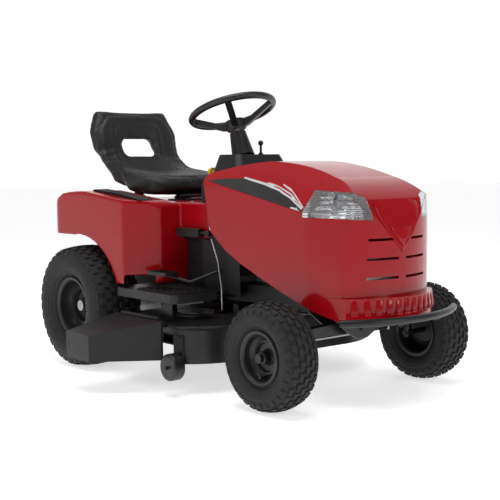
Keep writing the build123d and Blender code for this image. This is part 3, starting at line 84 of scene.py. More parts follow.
# ------------------------------------------------------------------ workshop
class Workshop:
    """Small modelling moves that every sub-assembly uses."""

    @staticmethod
    def clear() -> None:
        """Leave edit mode and deselect everything."""
        if bpy.context.object is not None and bpy.context.object.mode != "OBJECT":
            bpy.ops.object.mode_set(mode="OBJECT")
        bpy.ops.object.select_all(action="DESELECT")

    @staticmethod
    def take(piece: bpy.types.Object) -> bpy.types.Object:
        """Select one piece alone and make it active."""
        Workshop.clear()
        piece.select_set(True)
        bpy.context.view_layer.objects.active = piece
        return piece

    @staticmethod
    def settle(piece: bpy.types.Object) -> bpy.types.Object:
        """Put a piece's place, turn and scale into its mesh."""
        Workshop.take(piece)
        bpy.ops.object.transform_apply(location=True, rotation=True, scale=True)
        return piece

    @staticmethod
    def modify(piece: bpy.types.Object, kind: str, **settings: object) -> bpy.types.Object:
        """Add one modifier, set it and apply it.

        Args:
            piece: The mesh object.
            kind: The modifier's type.
            **settings: Its settings by name.

        Returns:
            The same piece.
        """
        Workshop.take(piece)
        modifier = piece.modifiers.new(kind.title(), kind)
        for key, value in settings.items():
            setattr(modifier, key, value)
        bpy.ops.object.modifier_apply(modifier=modifier.name)
        return piece

    @staticmethod
    def smooth(piece: bpy.types.Object, angle: float = 35.0) -> bpy.types.Object:
        """Shade a piece smooth, with edges sharper than the angle in degrees kept."""
        Workshop.take(piece)
        bpy.ops.object.shade_smooth_by_angle(angle=math.radians(angle))
        return piece

    @staticmethod
    def block(name: str, middle: Vector, size: Sequence[float], bevel: float,
              turn: Sequence[float] = (0.0, 0.0, 0.0), segments: int = 2) -> bpy.types.Object:
        """A block with rounded edges.

        Args:
            name: The piece's name.
            middle: Its middle, in the frame in metres.
            size: Its three sizes in millimetres.
            bevel: The edge radius in millimetres.
            turn: Its turn about X, Y and Z in radians.
            segments: Steps in each rounded edge.

        Returns:
            The new piece.
        """
        Workshop.clear()
        bpy.ops.mesh.primitive_cube_add(size=1, location=middle, rotation=turn,
                                        scale=[s * MM for s in size])
        piece = bpy.context.object
        piece.name = name
        Workshop.settle(piece)
        return Workshop.modify(piece, "BEVEL", width=bevel * MM, segments=segments)

    @staticmethod
    def turned(name: str, outline: Sequence[Point2], centre: Vector, steps: int,
               axis: Sequence[float] = (0.0, 1.0, 0.0),
               up: Sequence[float] = (0.0, 0.0, 1.0)) -> bpy.types.Object:
        """A closed outline turned all the way round an axis.

        Args:
            name: The piece's name.
            outline: Points of (distance along the axis, radius) in millimetres.
            centre: A point on the axis, in the frame in metres.
            steps: Steps round the axis.
            axis: The axis.
            up: A direction square to the axis.

        Returns:
            The new piece.
        """
        Workshop.clear()
        bpy.ops.mesh.primitive_circle_add(vertices=len(outline), radius=0.01)
        piece = bpy.context.object
        piece.name = name
        along, out = Vector(axis).normalized(), Vector(up).normalized()
        for vertex, (run, radius) in zip(piece.data.vertices, outline):
            vertex.co = centre + along * run * MM + out * radius * MM
        bpy.ops.object.mode_set(mode="EDIT")
        bpy.ops.mesh.select_all(action="SELECT")
        bpy.ops.mesh.spin(steps=steps, angle=2 * math.pi, center=centre, axis=along)
        bpy.ops.mesh.select_all(action="SELECT")
        bpy.ops.mesh.remove_doubles(threshold=DOUBLE_REACH)
        bpy.ops.mesh.normals_make_consistent(inside=False)
        bpy.ops.object.mode_set(mode="OBJECT")
        return piece

    @staticmethod
    def repeat_round(piece: bpy.types.Object, count: int, centre: Vector,
                     axis: Sequence[float] = (0.0, 1.0, 0.0)) -> bpy.types.Object:
        """Repeat all of a piece's mesh evenly round an axis, count times in all."""
        Workshop.take(piece)
        bpy.ops.object.mode_set(mode="EDIT")
        bpy.ops.mesh.select_all(action="SELECT")
        bpy.ops.mesh.spin(steps=count - 1, dupli=True, use_auto_merge=False,
                          angle=2 * math.pi * (count - 1) / count, center=centre, axis=axis)
        bpy.ops.object.mode_set(mode="OBJECT")
        return piece

    @staticmethod
    def join(name: str, parts: Sequence[bpy.types.Object]) -> bpy.types.Object:
        """Make several meshes one piece with one name."""
        Workshop.clear()
        for part in parts:
            part.select_set(True)
        bpy.context.view_layer.objects.active = parts[0]
        if len(parts) > 1:
            bpy.ops.object.join()
        piece = bpy.context.object
        piece.name = name
        return piece

    @staticmethod
    def merged_copy(node: str, name: str) -> bpy.types.Object:
        """A free copy of a CAD node's mesh with its doubled points merged.

        Args:
            node: The node to copy, which stays as it is.
            name: The copy's name.

        Returns:
            The copy, off its body.
        """
        source = frame["nodes"][node]
        piece = source.copy()
        piece.data = source.data.copy()
        bpy.context.scene.collection.objects.link(piece)
        piece.parent = None
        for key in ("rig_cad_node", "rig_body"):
            if key in piece:
                del piece[key]
        piece.name = name
        Workshop.take(piece)
        bpy.ops.object.mode_set(mode="EDIT")
        bpy.ops.mesh.select_all(action="SELECT")
        bpy.ops.mesh.remove_doubles(threshold=DOUBLE_REACH)
        bpy.ops.object.mode_set(mode="OBJECT")
        return piece

    @staticmethod
    def place(piece: bpy.types.Object, body: str, slot: str, finish: bpy.types.Material) -> bpy.types.Object:
        """Dress a piece and let it ride on a body."""
        piece.data.materials.clear()
        piece.data.materials.append(finish)
        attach(piece, body)
        return piece


# ------------------------------------------------------------------ finishes
class Slot(Enum):
    """The record's material slots."""

    RED = "red_paint"
    BLACK = "black_steel"
    CHARCOAL = "dark_grey_plastic"
    RUBBER = "black_rubber"
    TYRE = "tyre_rubber"
    RIM = "rim_paint"
    STEEL = "bare_steel"
    ALLOY = "cast_alloy"
    LENS = "clear_lens"
    MIRROR = "reflector"
    VINYL = "seat_vinyl"
    YELLOW = "yellow_plastic"
    WHITE = "white_plastic"
    WHEEL = "wheel_plastic"


class Grain(Enum):
    """Kinds of small relief on a surface."""

    ORANGE_PEEL = "orange peel"
    PEBBLE = "pebbled"
    CAST = "cast"
    BRUSHED = "brushed"


class Sheet:
    """One material's node tree, with short calls for the nodes that finishes use."""

    def __init__(self, name: str) -> None:
        """Start an empty material with a shader and object coordinates."""
        self.material = bpy.data.materials.new(name)
        self.material.use_nodes = True
        self.tree = self.material.node_tree
        self.tree.nodes.clear()
        self.shader = self.tree.nodes.new("ShaderNodeBsdfPrincipled")
        output = self.tree.nodes.new("ShaderNodeOutputMaterial")
        self.link(self.shader.outputs[0], output.inputs["Surface"])
        self.place = self.tree.nodes.new("ShaderNodeTexCoord").outputs["Object"]

    def link(self, start: bpy.types.NodeSocket, end: bpy.types.NodeSocket) -> None:
        """Join an output to an input."""
        self.tree.links.new(start, end)

    def moved(self, centre: Vector) -> bpy.types.NodeSocket:
        """Object coordinates measured from a centre."""
        node = self.tree.nodes.new("ShaderNodeMapping")
        node.inputs["Location"].default_value = -centre
        self.link(self.place, node.inputs["Vector"])
        return node.outputs[0]

    def stretched(self, scale: Sequence[float]) -> bpy.types.NodeSocket:
        """Object coordinates scaled differently along X, Y and Z."""
        node = self.tree.nodes.new("ShaderNodeMapping")
        node.inputs["Scale"].default_value = scale
        self.link(self.place, node.inputs["Vector"])
        return node.outputs[0]

    def noise(self, scale: float, detail: float = 3.0, rough: float = 0.55,
              vector: bpy.types.NodeSocket | None = None) -> bpy.types.NodeSocket:
        """Noise with so many features a metre."""
        node = self.tree.nodes.new("ShaderNodeTexNoise")
        node.inputs["Scale"].default_value = scale
        node.inputs["Detail"].default_value = detail
        node.inputs["Roughness"].default_value = rough
        self.link(vector or self.place, node.inputs["Vector"])
        return node.outputs["Fac"]

    def cells(self, scale: float, vector: bpy.types.NodeSocket | None = None) -> bpy.types.NodeSocket:
        """Distance to the nearest cell point, for pebbled grain."""
        node = self.tree.nodes.new("ShaderNodeTexVoronoi")
        node.inputs["Scale"].default_value = scale
        self.link(vector or self.place, node.inputs["Vector"])
        return node.outputs["Distance"]

    def math(self, kind: str, a: object, b: object = 0.0) -> bpy.types.NodeSocket:
        """One arithmetic step on sockets or numbers."""
        node = self.tree.nodes.new("ShaderNodeMath")
        node.operation = kind
        for slot, value in zip(node.inputs, (a, b)):
            if isinstance(value, (int, float)):
                slot.default_value = value
            else:
                self.link(value, slot)
        return node.outputs[0]

    def parts(self, vector: bpy.types.NodeSocket | None = None) -> tuple[bpy.types.NodeSocket, ...]:
        """The X, Y and Z of a vector."""
        node = self.tree.nodes.new("ShaderNodeSeparateXYZ")
        self.link(vector or self.place, node.inputs[0])
        return tuple(node.outputs)

    def spread(self, value: bpy.types.NodeSocket, low: float, high: float, to_low: float = 0.0,
               to_high: float = 1.0) -> bpy.types.NodeSocket:
        """A value moved from one range to another, clamped."""
        node = self.tree.nodes.new("ShaderNodeMapRange")
        for name, number in zip(("From Min", "From Max", "To Min", "To Max"), (low, high, to_low, to_high)):
            node.inputs[name].default_value = number
        self.link(value, node.inputs["Value"])
        return node.outputs[0]

    def blend(self, share: bpy.types.NodeSocket, a: object, b: object) -> bpy.types.NodeSocket:
        """Two colours mixed by a share. Each is a colour or a socket."""
        node = self.tree.nodes.new("ShaderNodeMix")
        node.data_type = "RGBA"
        self.link(share, node.inputs["Factor"])
        for name, value in (("A", a), ("B", b)):
            slot = [s for s in node.inputs if s.name == name and s.type == "RGBA"][0]
            if isinstance(value, tuple):
                slot.default_value = (*value, 1.0)
            else:
                self.link(value, slot)
        return [s for s in node.outputs if s.type == "RGBA"][0]

    def relief(self, height: bpy.types.NodeSocket, depth: float, strength: float = 1.0,
               under: bpy.types.NodeSocket | None = None) -> bpy.types.NodeSocket:
        """A bump of a depth in metres."""
        node = self.tree.nodes.new("ShaderNodeBump")
        node.inputs["Distance"].default_value = depth
        node.inputs["Strength"].default_value = strength
        self.link(height, node.inputs["Height"])
        if under is not None:
            self.link(under, node.inputs["Normal"])
        return node.outputs[0]


@dataclass(frozen=True)
class Finish:
    """A surface finish: two close tones, a gloss, a grain and some dust low down."""

    name: str
    slot: Slot
    colour: Colour
    tone: Colour
    mottle: float
    roughness: tuple[float, float]
    grain: Grain
    grain_scale: float
    grain_depth: float
    metallic: float = 0.0
    coat: float = 0.0
    specular: float = 0.5
    dust: float = 0.0
    dust_colour: Colour = (0.16, 0.145, 0.125)

    def height(self, sheet: Sheet) -> bpy.types.NodeSocket:
        """The grain's height field."""
        if self.grain is Grain.PEBBLE:
            return sheet.cells(self.grain_scale)
        if self.grain is Grain.BRUSHED:
            return sheet.noise(1.0, 2.0, 0.5, sheet.stretched((self.grain_scale * 0.06, self.grain_scale,
                                                               self.grain_scale)))
        if self.grain is Grain.CAST:
            return sheet.noise(self.grain_scale, 6.0, 0.7)
        return sheet.noise(self.grain_scale, 2.0, 0.5)

    def build(self) -> bpy.types.Material:
        """Make the material.

        Returns:
            The finished material.
        """
        sheet = Sheet(self.name)
        patches = sheet.noise(self.mottle, 4.0, 0.6)
        colour = sheet.blend(sheet.spread(patches, 0.35, 0.65), self.colour, self.tone)
        if self.dust > 0:
            low = sheet.spread(sheet.parts()[2], 0.02, 0.36, 1.0, 0.0)
            specks = sheet.spread(sheet.noise(34.0, 6.0, 0.7), 0.45, 0.7)
            share = sheet.math("MULTIPLY", sheet.math("MULTIPLY", low, specks), self.dust)
            colour = sheet.blend(share, colour, self.dust_colour)
        sheet.link(colour, sheet.shader.inputs["Base Color"])
        wear = sheet.noise(self.mottle * 5.0, 5.0, 0.65)
        sheet.link(sheet.spread(wear, 0.3, 0.7, *self.roughness), sheet.shader.inputs["Roughness"])
        sheet.link(sheet.relief(self.height(sheet), self.grain_depth), sheet.shader.inputs["Normal"])
        sheet.shader.inputs["Metallic"].default_value = self.metallic
        sheet.shader.inputs["Coat Weight"].default_value = self.coat
        sheet.shader.inputs["Coat Roughness"].default_value = 0.04
        sheet.shader.inputs["Specular IOR Level"].default_value = self.specular
        return sheet.material


class FinishSet:
    """Every finish of the mower, made once."""

    plain: tuple[Finish, ...] = (
        Finish("red_lacquer", Slot.RED, (0.34, 0.0006, 0.005), (0.31, 0.0005, 0.0045), 3.0, (0.22, 0.28),
               Grain.ORANGE_PEEL, 300.0, 0.00002, coat=0.4, specular=0.15),
        Finish("black_powder_coat", Slot.BLACK, (0.006, 0.006, 0.0065), (0.009, 0.009, 0.0095), 9.0, (0.3, 0.45),
               Grain.ORANGE_PEEL, 700.0, 0.00008, specular=0.4, dust=0.03),
        Finish("charcoal_moulding", Slot.CHARCOAL, (0.011, 0.0113, 0.0125), (0.008, 0.0083, 0.0095), 7.0, (0.4, 0.52),
               Grain.PEBBLE, 900.0, 0.00008, specular=0.35),
        Finish("black_ribbed_rubber", Slot.RUBBER, (0.006, 0.006, 0.0065), (0.009, 0.009, 0.009), 14.0, (0.55, 0.75),
               Grain.PEBBLE, 700.0, 0.0002, specular=0.3, dust=0.03),
        Finish("charcoal_rim_paint", Slot.RIM, (0.011, 0.0115, 0.013), (0.015, 0.0155, 0.017), 12.0, (0.34, 0.46),
               Grain.ORANGE_PEEL, 500.0, 0.0001, specular=0.45, dust=0.03),
        Finish("zinc_plated_steel", Slot.STEEL, (0.48, 0.48, 0.47), (0.36, 0.36, 0.35), 30.0, (0.24, 0.42),
               Grain.BRUSHED, 900.0, 0.00008, metallic=1.0, dust=0.06),
        Finish("cast_aluminium", Slot.ALLOY, (0.34, 0.34, 0.34), (0.24, 0.24, 0.245), 18.0, (0.42, 0.62),
               Grain.CAST, 420.0, 0.0004, metallic=0.9, dust=0.12),
        Finish("yellow_moulding", Slot.YELLOW, (0.78, 0.50, 0.015), (0.70, 0.43, 0.012), 20.0, (0.28, 0.4),
               Grain.ORANGE_PEEL, 900.0, 0.00006, specular=0.5),
        Finish("milky_moulding", Slot.WHITE, (0.66, 0.66, 0.62), (0.58, 0.58, 0.54), 16.0, (0.36, 0.5),
               Grain.ORANGE_PEEL, 600.0, 0.0001, specular=0.45),
        Finish("black_grip_moulding", Slot.WHEEL, (0.006, 0.006, 0.0065), (0.009, 0.009, 0.0095), 16.0, (0.34, 0.46),
               Grain.PEBBLE, 1300.0, 0.00008, specular=0.5),
    )

    def __init__(self) -> None:
        """Make the finishes and keep them by slot."""
        self.by_slot: dict[Slot, bpy.types.Material] = {f.slot: f.build() for f in self.plain}
        self.by_slot[Slot.VINYL] = self.vinyl()
        self.by_slot[Slot.LENS] = self.lens()
        self.by_slot[Slot.MIRROR] = self.mirror()
        self.by_slot[Slot.TYRE] = self.tyre("tyre_rubber_plain", None)

    def vinyl(self) -> bpy.types.Material:
        """Black seat vinyl with a leather grain."""
        sheet = Sheet("grained_vinyl")
        tone = sheet.blend(sheet.spread(sheet.noise(11.0, 4.0), 0.35, 0.7), (0.006, 0.006, 0.0065),
                           (0.010, 0.010, 0.0105))
        sheet.link(tone, sheet.shader.inputs["Base Color"])
        sheet.link(sheet.spread(sheet.noise(60.0, 5.0), 0.3, 0.7, 0.42, 0.6), sheet.shader.inputs["Roughness"])
        pebble = sheet.relief(sheet.cells(420.0), 0.00035, 0.9)
        wrinkle = sheet.relief(sheet.noise(70.0, 5.0, 0.65), 0.0008, 0.5, pebble)
        sheet.link(wrinkle, sheet.shader.inputs["Normal"])
        sheet.shader.inputs["Specular IOR Level"].default_value = 0.45
        return sheet.material

    def lens(self) -> bpy.types.Material:
        """Clear lamp lens with fine level flutes on its inner side."""
        sheet = Sheet("clear_fluted_lens")
        ribs = sheet.math("SINE", sheet.math("MULTIPLY", sheet.parts()[2], 900.0))
        sheet.link(sheet.relief(ribs, 0.0006, 0.6), sheet.shader.inputs["Normal"])
        sheet.link(sheet.spread(sheet.noise(80.0), 0.3, 0.7, 0.02, 0.07), sheet.shader.inputs["Roughness"])
        sheet.shader.inputs["Base Color"].default_value = (0.95, 0.97, 0.98, 1.0)
        sheet.shader.inputs["Transmission Weight"].default_value = 0.92
        sheet.shader.inputs["IOR"].default_value = 1.30
        return sheet.material

    def mirror(self) -> bpy.types.Material:
        """Bright lamp reflector with stepped facets."""
        sheet = Sheet("stepped_reflector")
        _, across, up = sheet.parts()
        bands = sheet.math("SINE", sheet.math("MULTIPLY", up, 520.0))
        columns = sheet.math("SINE", sheet.math("MULTIPLY", across, 260.0))
        steps = sheet.math("ADD", bands, sheet.math("MULTIPLY", columns, 0.5))
        sheet.link(sheet.relief(steps, 0.003, 0.9), sheet.shader.inputs["Normal"])
        tone = sheet.blend(sheet.spread(sheet.noise(40.0, 4.0), 0.4, 0.65), (0.86, 0.87, 0.88), (0.55, 0.56, 0.58))
        sheet.link(tone, sheet.shader.inputs["Base Color"])
        sheet.link(sheet.spread(sheet.noise(50.0), 0.3, 0.7, 0.12, 0.3), sheet.shader.inputs["Roughness"])
        sheet.shader.inputs["Metallic"].default_value = 1.0
        return sheet.material

    def tyre(self, name: str, hub: Vector | None) -> bpy.types.Material:
        """Tyre rubber, dusty at the tread, with fine rings round the hub on the walls.

        Args:
            name: The material's name.
            hub: The wheel's centre, or None where rings aren't wanted.

        Returns:
            The material.
        """
        sheet = Sheet(name)
        tone = sheet.blend(sheet.spread(sheet.noise(16.0, 6.0, 0.7), 0.35, 0.7), (0.012, 0.012, 0.0125),
                           (0.020, 0.0197, 0.019))
        dust = sheet.spread(sheet.noise(60.0, 8.0, 0.75), 0.52, 0.8, 0.0, 0.2)
        sheet.link(sheet.blend(dust, tone, (0.05, 0.048, 0.045)), sheet.shader.inputs["Base Color"])
        sheet.link(sheet.spread(sheet.noise(90.0, 5.0), 0.3, 0.7, 0.6, 0.8), sheet.shader.inputs["Roughness"])
        skin = sheet.relief(sheet.noise(500.0, 4.0, 0.7), 0.0003, 0.8)
        if hub is not None:
            x, _, z = sheet.parts(sheet.moved(hub))
            radius = sheet.math("SQRT", sheet.math("ADD", sheet.math("MULTIPLY", x, x),
                                                   sheet.math("MULTIPLY", z, z)))
            rings = sheet.math("SINE", sheet.math("MULTIPLY", radius, 520.0))
            skin = sheet.relief(rings, 0.0012, 0.35, skin)
        sheet.link(skin, sheet.shader.inputs["Normal"])
        sheet.shader.inputs["Specular IOR Level"].default_value = 0.35
        return sheet.material

    @staticmethod
    def film(name: str, colour: Colour) -> bpy.types.Material:
        """A glossy printed film of one colour, very slightly uneven."""
        sheet = Sheet(name)
        tone = tuple(c * 0.85 for c in colour)
        sheet.link(sheet.blend(sheet.spread(sheet.noise(40.0, 4.0), 0.3, 0.7), colour, tone),
                   sheet.shader.inputs["Base Color"])
        sheet.link(sheet.spread(sheet.noise(25.0), 0.3, 0.7, 0.2, 0.3), sheet.shader.inputs["Roughness"])
        sheet.shader.inputs["Coat Weight"].default_value = 0.5
        sheet.shader.inputs["Coat Roughness"].default_value = 0.05
        return sheet.material

    def dress(self, node: str) -> None:
        """Give a CAD node the finish of its own slot."""
        piece = frame["nodes"][node]
        for holder in piece.material_slots:
            name = holder.material.name.split(".")[0]
            holder.material = self.by_slot[Slot(name)]


# ------------------------------------------------------------------ wheels
def arc(a: Point2, b: Point2, c: Point2, steps: int) -> list[Point2]:
    """Points on the circle arc from a through b to c, both ends included."""
    ax, ay, bx, by, cx, cy = *a, *b, *c
    d = 2 * (ax * (by - cy) + bx * (cy - ay) + cx * (ay - by))
    ux = ((ax**2 + ay**2) * (by - cy) + (bx**2 + by**2) * (cy - ay) + (cx**2 + cy**2) * (ay - by)) / d
    uy = ((ax**2 + ay**2) * (cx - bx) + (bx**2 + by**2) * (ax - cx) + (cx**2 + cy**2) * (bx - ax)) / d
    radius = math.hypot(ax - ux, ay - uy)
    angles = [math.atan2(y - uy, x - ux) for x, y in (a, b, c)]
    turn = (angles[2] - angles[0]) % (2 * math.pi)
    if (angles[1] - angles[0]) % (2 * math.pi) > turn:
        turn -= 2 * math.pi
    return [(ux + radius * math.cos(angles[0] + turn * k / steps),
             uy + radius * math.sin(angles[0] + turn * k / steps)) for k in range(steps + 1)]


@dataclass
class Wheel:
    """A turf tyre with square lugs on a pressed rim with a stepped dish."""

    tag: str
    tyre_node: str
    rim_node: str
    body: str
    outward: int
    centre: Vector
    radius: float
    width: float
    rim_radius: float
    bore: float
    hub_reach: float
    hub_radius: float
    lug_rows: tuple[float, ...]
    lug_count: int
    lug_size: tuple[float, float]
    lug_height: float = 6.0

    def carcass(self) -> bpy.types.Object:
        """Turn the tyre's body, a lug's height smaller than the tyre."""
        crown = self.radius - self.lug_height
        bead = self.width * 0.34
        bulge = (self.radius + self.rim_radius) / 2 + 2
        shoulder = self.width * 0.41
        half = self.width / 2
        foot = self.rim_radius
        wall = arc((-bead, foot + 14), (-half, bulge), (-shoulder, crown - 10), 10)
        top = arc((-shoulder, crown - 10), (0, crown), (shoulder, crown - 10), 12)
        far = [(-a, b) for a, b in reversed(wall)]
        inside = [(bead - 10, foot), (bead - 10, foot + 16), (half - 16, bulge), (shoulder - 14, crown - 22),
                  (-shoulder + 14, crown - 22), (-half + 16, bulge), (-bead + 10, foot + 16), (-bead + 10, foot)]
        outline = [(-bead, foot), *wall, *top[1:-1], *far, (bead, foot), *inside]
        piece = Workshop.turned(f"tyre_{self.tag}", outline, self.centre, 96)
        return Workshop.smooth(piece, 50)

    def lug(self, offset: float, radius: float, lean: float, size: Sequence[float], phase: float,
            name: str) -> bpy.types.Object:
        """One ring of lugs, repeated round the wheel."""
        turn = Matrix.Rotation(phase, 4, "Y") @ Matrix.Rotation(-lean, 4, "X")
        middle = self.centre + Matrix.Rotation(phase, 4, "Y") @ (Vector((0, offset, radius)) * MM)
        piece = Workshop.block(name, middle, size, 1.4, tuple(turn.to_euler()), segments=1)
        return Workshop.repeat_round(piece, self.lug_count, self.centre)

    def tread(self) -> list[bpy.types.Object]:
        """All rings of lugs: rows over the crown, then shoulder lugs on each side."""
        crown = self.radius - self.lug_height
        shoulder = self.width * 0.41
        pitch = 2 * math.pi / self.lug_count
        rings = []
        across, along = self.lug_size
        for index, row in enumerate(self.lug_rows):
            for side in ((1,) if row == 0 else (1, -1)):
                offset = side * row
                radius = crown - 10 * (row / shoulder) ** 2
                lean = side * math.atan(20 * row / shoulder**2)
                phase = pitch / 2 if index % 2 else 0.0
                rings.append(self.lug(offset, radius, lean, (along, across, 2 * self.lug_height), phase,
                                      f"lugs_{index}"))
        for side in (1, -1):
            last = pitch / 2 if len(self.lug_rows) % 2 else 0.0
            rings.append(self.lug(side * (shoulder + 5), crown - 21, side * math.radians(62),
                                  (along * 0.9, across * 1.15, 2 * self.lug_height * 0.9), last, "shoulder_lugs"))
        return rings

    def build(self, finishes: FinishSet) -> None:
        """Make the tyre and the rim in place of their plain solids."""
        tyre = Workshop.join(f"tyre_{self.tag}", [self.carcass(), *self.tread()])
        Workshop.place(tyre, self.body, Slot.TYRE.value, finishes.tyre(f"tyre_rubber_{self.tag}", self.centre))
        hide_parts(self.tyre_node)
        rim = self.rim()
        Workshop.place(rim, self.body, Slot.RIM.value, finishes.by_slot[Slot.RIM])
        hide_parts(self.rim_node)
        log.info("wheel %s: %d lug rings", self.tag, 2 * len(self.lug_rows) + 1)

    def rim(self) -> bpy.types.Object:
        """Turn the rim: rolled flanges, barrel, stepped dish and hub, with its valve."""
        r, bead, s = self.rim_radius, self.width * 0.34, self.outward
        lip = bead + 5
        face = [(lip, r + 9), (lip + 3, r + 6), (lip + 2, r - 1), (lip - 4, r - 6), (bead - 16, r - 8),
                (bead * 0.52, r - 11), (bead * 0.34, r - 20), (bead * 0.44, r - 24), (bead * 0.46, r * 0.60),
                (bead * 0.22, r * 0.55), (bead * 0.20, self.hub_radius + 7), (bead * 0.34, self.hub_radius + 2),
                (self.hub_reach - 3, self.hub_radius), (self.hub_reach, self.hub_radius - 3),
                (self.hub_reach, self.bore)]
        back = [(bead * 0.05, self.bore), (bead * 0.05, r * 0.55), (bead * 0.20, r * 0.62),
                (bead * 0.16, r - 22),
                (bead * 0.30, r - 4), (-bead + 4, r - 4), (-lip + 3, r - 3), (-lip - 2, r + 2), (-lip, r + 9),
                (-lip + 4, r + 9), (-bead - 1, r - 0.5), (bead + 1, r - 0.5), (lip - 4, r + 9)]
        outline = [(s * a, b) for a, b in [*face, *back]]
        body = Workshop.smooth(Workshop.turned(f"rim_{self.tag}", outline, self.centre, 72), 28)
        stem_at = self.centre + Vector((0, s * (bead * 0.40 + 9), -(r - 17))) * MM
        stem = Workshop.turned("valve", [(-10, 0.01), (-10, 4.2), (0, 3.6), (9, 3.4), (9, 4.2), (17, 4.0),
                                         (18, 3.0), (18, 0.01)], stem_at, 16, (0, s, 0.0))
        return Workshop.join(f"rim_{self.tag}", [body, Workshop.smooth(stem)])


@dataclass
class WheelSet:
    """The four wheels."""

    rear_y: float = 365.0
    front_y: float = 362.0
    rear_radius: float = 230.0
    front_radius: float = 171.5
    wheelbase: float = 1042.0
    wheels: list[Wheel] = field(default_factory=list)

    def build(self, finishes: FinishSet) -> None:
        """Make all four wheels."""
        for side, tag in ((1, "left"), (-1, "right")):
            self.wheels.append(Wheel(
                f"rear_{tag}", f"rear_tyre_{tag}", f"rear_rim_{tag}", f"rear_wheel_{tag}", side,
                at(0, side * self.rear_y, self.rear_radius), radius=self.rear_radius, width=208.0,
                rim_radius=104.0, bore=12.6, hub_reach=34.0, hub_radius=26.0,
                lug_rows=(0.0, 25.0, 49.0, 73.0), lug_count=34, lug_size=(19.0, 26.0)))
            self.wheels.append(Wheel(
                f"front_{tag}", f"front_tyre_{tag}", f"front_rim_{tag}", f"front_wheel_{tag}", side,
                at(self.wheelbase, side * self.front_y, self.front_radius), radius=self.front_radius,
                width=127.0, rim_radius=78.0, bore=10.1, hub_reach=40.0, hub_radius=20.0,
                lug_rows=(0.0, 21.0, 42.0), lug_count=30, lug_size=(15.0, 22.0), lug_height=5.5))
        for wheel in self.wheels:
            wheel.build(finishes)


# ------------------------------------------------------------------ seat
@dataclass
class SeatCushion:
    """A moulded foam seat in vinyl: swollen from a slightly smaller shape, then its sewn channels."""

    voxel: float = 0.006
    shrink: float = 0.004
    pressure: float = 2.0
    cap: float = 0.011
    frames: int = 20
    channel: float = 0.0016
    channel_width: float = 0.0045
    back_lines: tuple[tuple[Point2, ...], ...] = (
        ((-182, 790), (-182, 892), (-172, 920), (-140, 958), (-118, 968), (118, 968), (140, 958), (172, 920),
         (182, 892), (182, 790)),
        ((-112, 778), (-112, 898), (-104, 918), (-84, 930), (84, 930), (104, 918), (112, 898), (112, 778)),
    )
    pan_lines: tuple[tuple[Point2, ...], ...] = (
        ((-90, -172), (110, -172), (160, -158), (186, -120), (192, 0), (186, 120), (160, 158), (110, 172), (-90, 172)),
        ((-90, -112), (90, -112), (128, -98), (142, -60), (146, 0), (142, 60), (128, 98), (90, 112), (-90, 112)),
    )

    def start(self) -> bpy.types.Object:
        """A merged, slightly smaller and evenly meshed copy of the seat's solid."""
        piece = Workshop.merged_copy("seat_cushion", "seat_cushion_padded")
        Workshop.modify(piece, "REMESH", mode="VOXEL", voxel_size=self.voxel)
        Workshop.modify(piece, "SMOOTH", factor=0.5, iterations=6)
        return Workshop.modify(piece, "DISPLACE", strength=-self.shrink, mid_level=0.0)

    def swell(self, piece: bpy.types.Object) -> None:
        """Fill the cushion with air pressure and keep each point within the cap."""
        scene = bpy.context.scene
        cloth = Workshop.take(piece).modifiers.new("Cloth", "CLOTH")
        cloth.settings.use_pressure = True
        cloth.settings.uniform_pressure_force = self.pressure
        cloth.settings.effector_weights.gravity = 0.0
        cloth.point_cache.frame_start, cloth.point_cache.frame_end = 1, self.frames
        before = [v.co.copy() for v in piece.data.vertices]
        for step in range(1, self.frames + 1):
            scene.frame_set(step)
        shown = piece.evaluated_get(bpy.context.evaluated_depsgraph_get())
        after = [v.co.copy() for v in shown.data.vertices]
        piece.modifiers.remove(cloth)
        for vertex, old, new in zip(piece.data.vertices, before, after):
            move = new - old
            if move.length > self.cap:
                move = move.normalized() * self.cap
            vertex.co = old + move
        scene.frame_set(1)

    @staticmethod
    def gap_to(line: Sequence[Point2], spot: Point2) -> float:
        """Distance from a point to a line of straight runs, in the line's own unit."""
        best = math.inf
        for (ax, ay), (bx, by) in zip(line, line[1:]):
            dx, dy = bx - ax, by - ay
            t = max(0.0, min(1.0, ((spot[0] - ax) * dx + (spot[1] - ay) * dy) / (dx * dx + dy * dy)))
            best = min(best, math.hypot(spot[0] - ax - t * dx, spot[1] - ay - t * dy))
        return best

    def shape(self, piece: bpy.types.Object) -> None:
        """Press the sewn channels and the sitter's hollow into the faces that the sitter touches."""
        rest = [(vertex.co.copy(), vertex.normal.copy()) for vertex in piece.data.vertices]
        for vertex, (place, normal) in zip(piece.data.vertices, rest):
            spot = (place - AXLE_SHIFT) / MM
            on_back = normal.x > 0.25 and spot.z > 765
            on_pan = normal.z > 0.45 and spot.z < 775
            if on_back:
                gap = min(self.gap_to(line, (spot.y, spot.z)) for line in self.back_lines)
                edge = max(0.0, 1 - abs(spot.y) / 120)
                hollow = 0.004 * min(1.0, edge * 2)
            elif on_pan:
                gap = min(self.gap_to(line, (spot.x, spot.y)) for line in self.pan_lines)
                hollow = 0.005 * min(1.0, max(0.0, 1 - abs(spot.y) / 120) * 2)
            else:
                continue
            groove = self.channel * math.exp(-((gap * MM / self.channel_width) ** 2))
            roll = 0.0014 * math.exp(-(((gap * MM - 0.014) / 0.008) ** 2))
            vertex.co = place - normal * (groove + hollow - roll)

    def build(self, finishes: FinishSet) -> None:
        """Make the cushion in place of its plain solid."""
        piece = self.start()
        self.swell(piece)
        Workshop.modify(piece, "SMOOTH", factor=0.5, iterations=10)
        Workshop.modify(piece, "SUBSURF", levels=1, render_levels=1)
        self.shape(piece)
        Workshop.take(piece)
        bpy.ops.object.shade_smooth()
        Workshop.place(piece, "seat", Slot.VINYL.value, finishes.by_slot[Slot.VINYL])
        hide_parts("seat_cushion")
        log.info("seat cushion: %d points", len(piece.data.vertices))


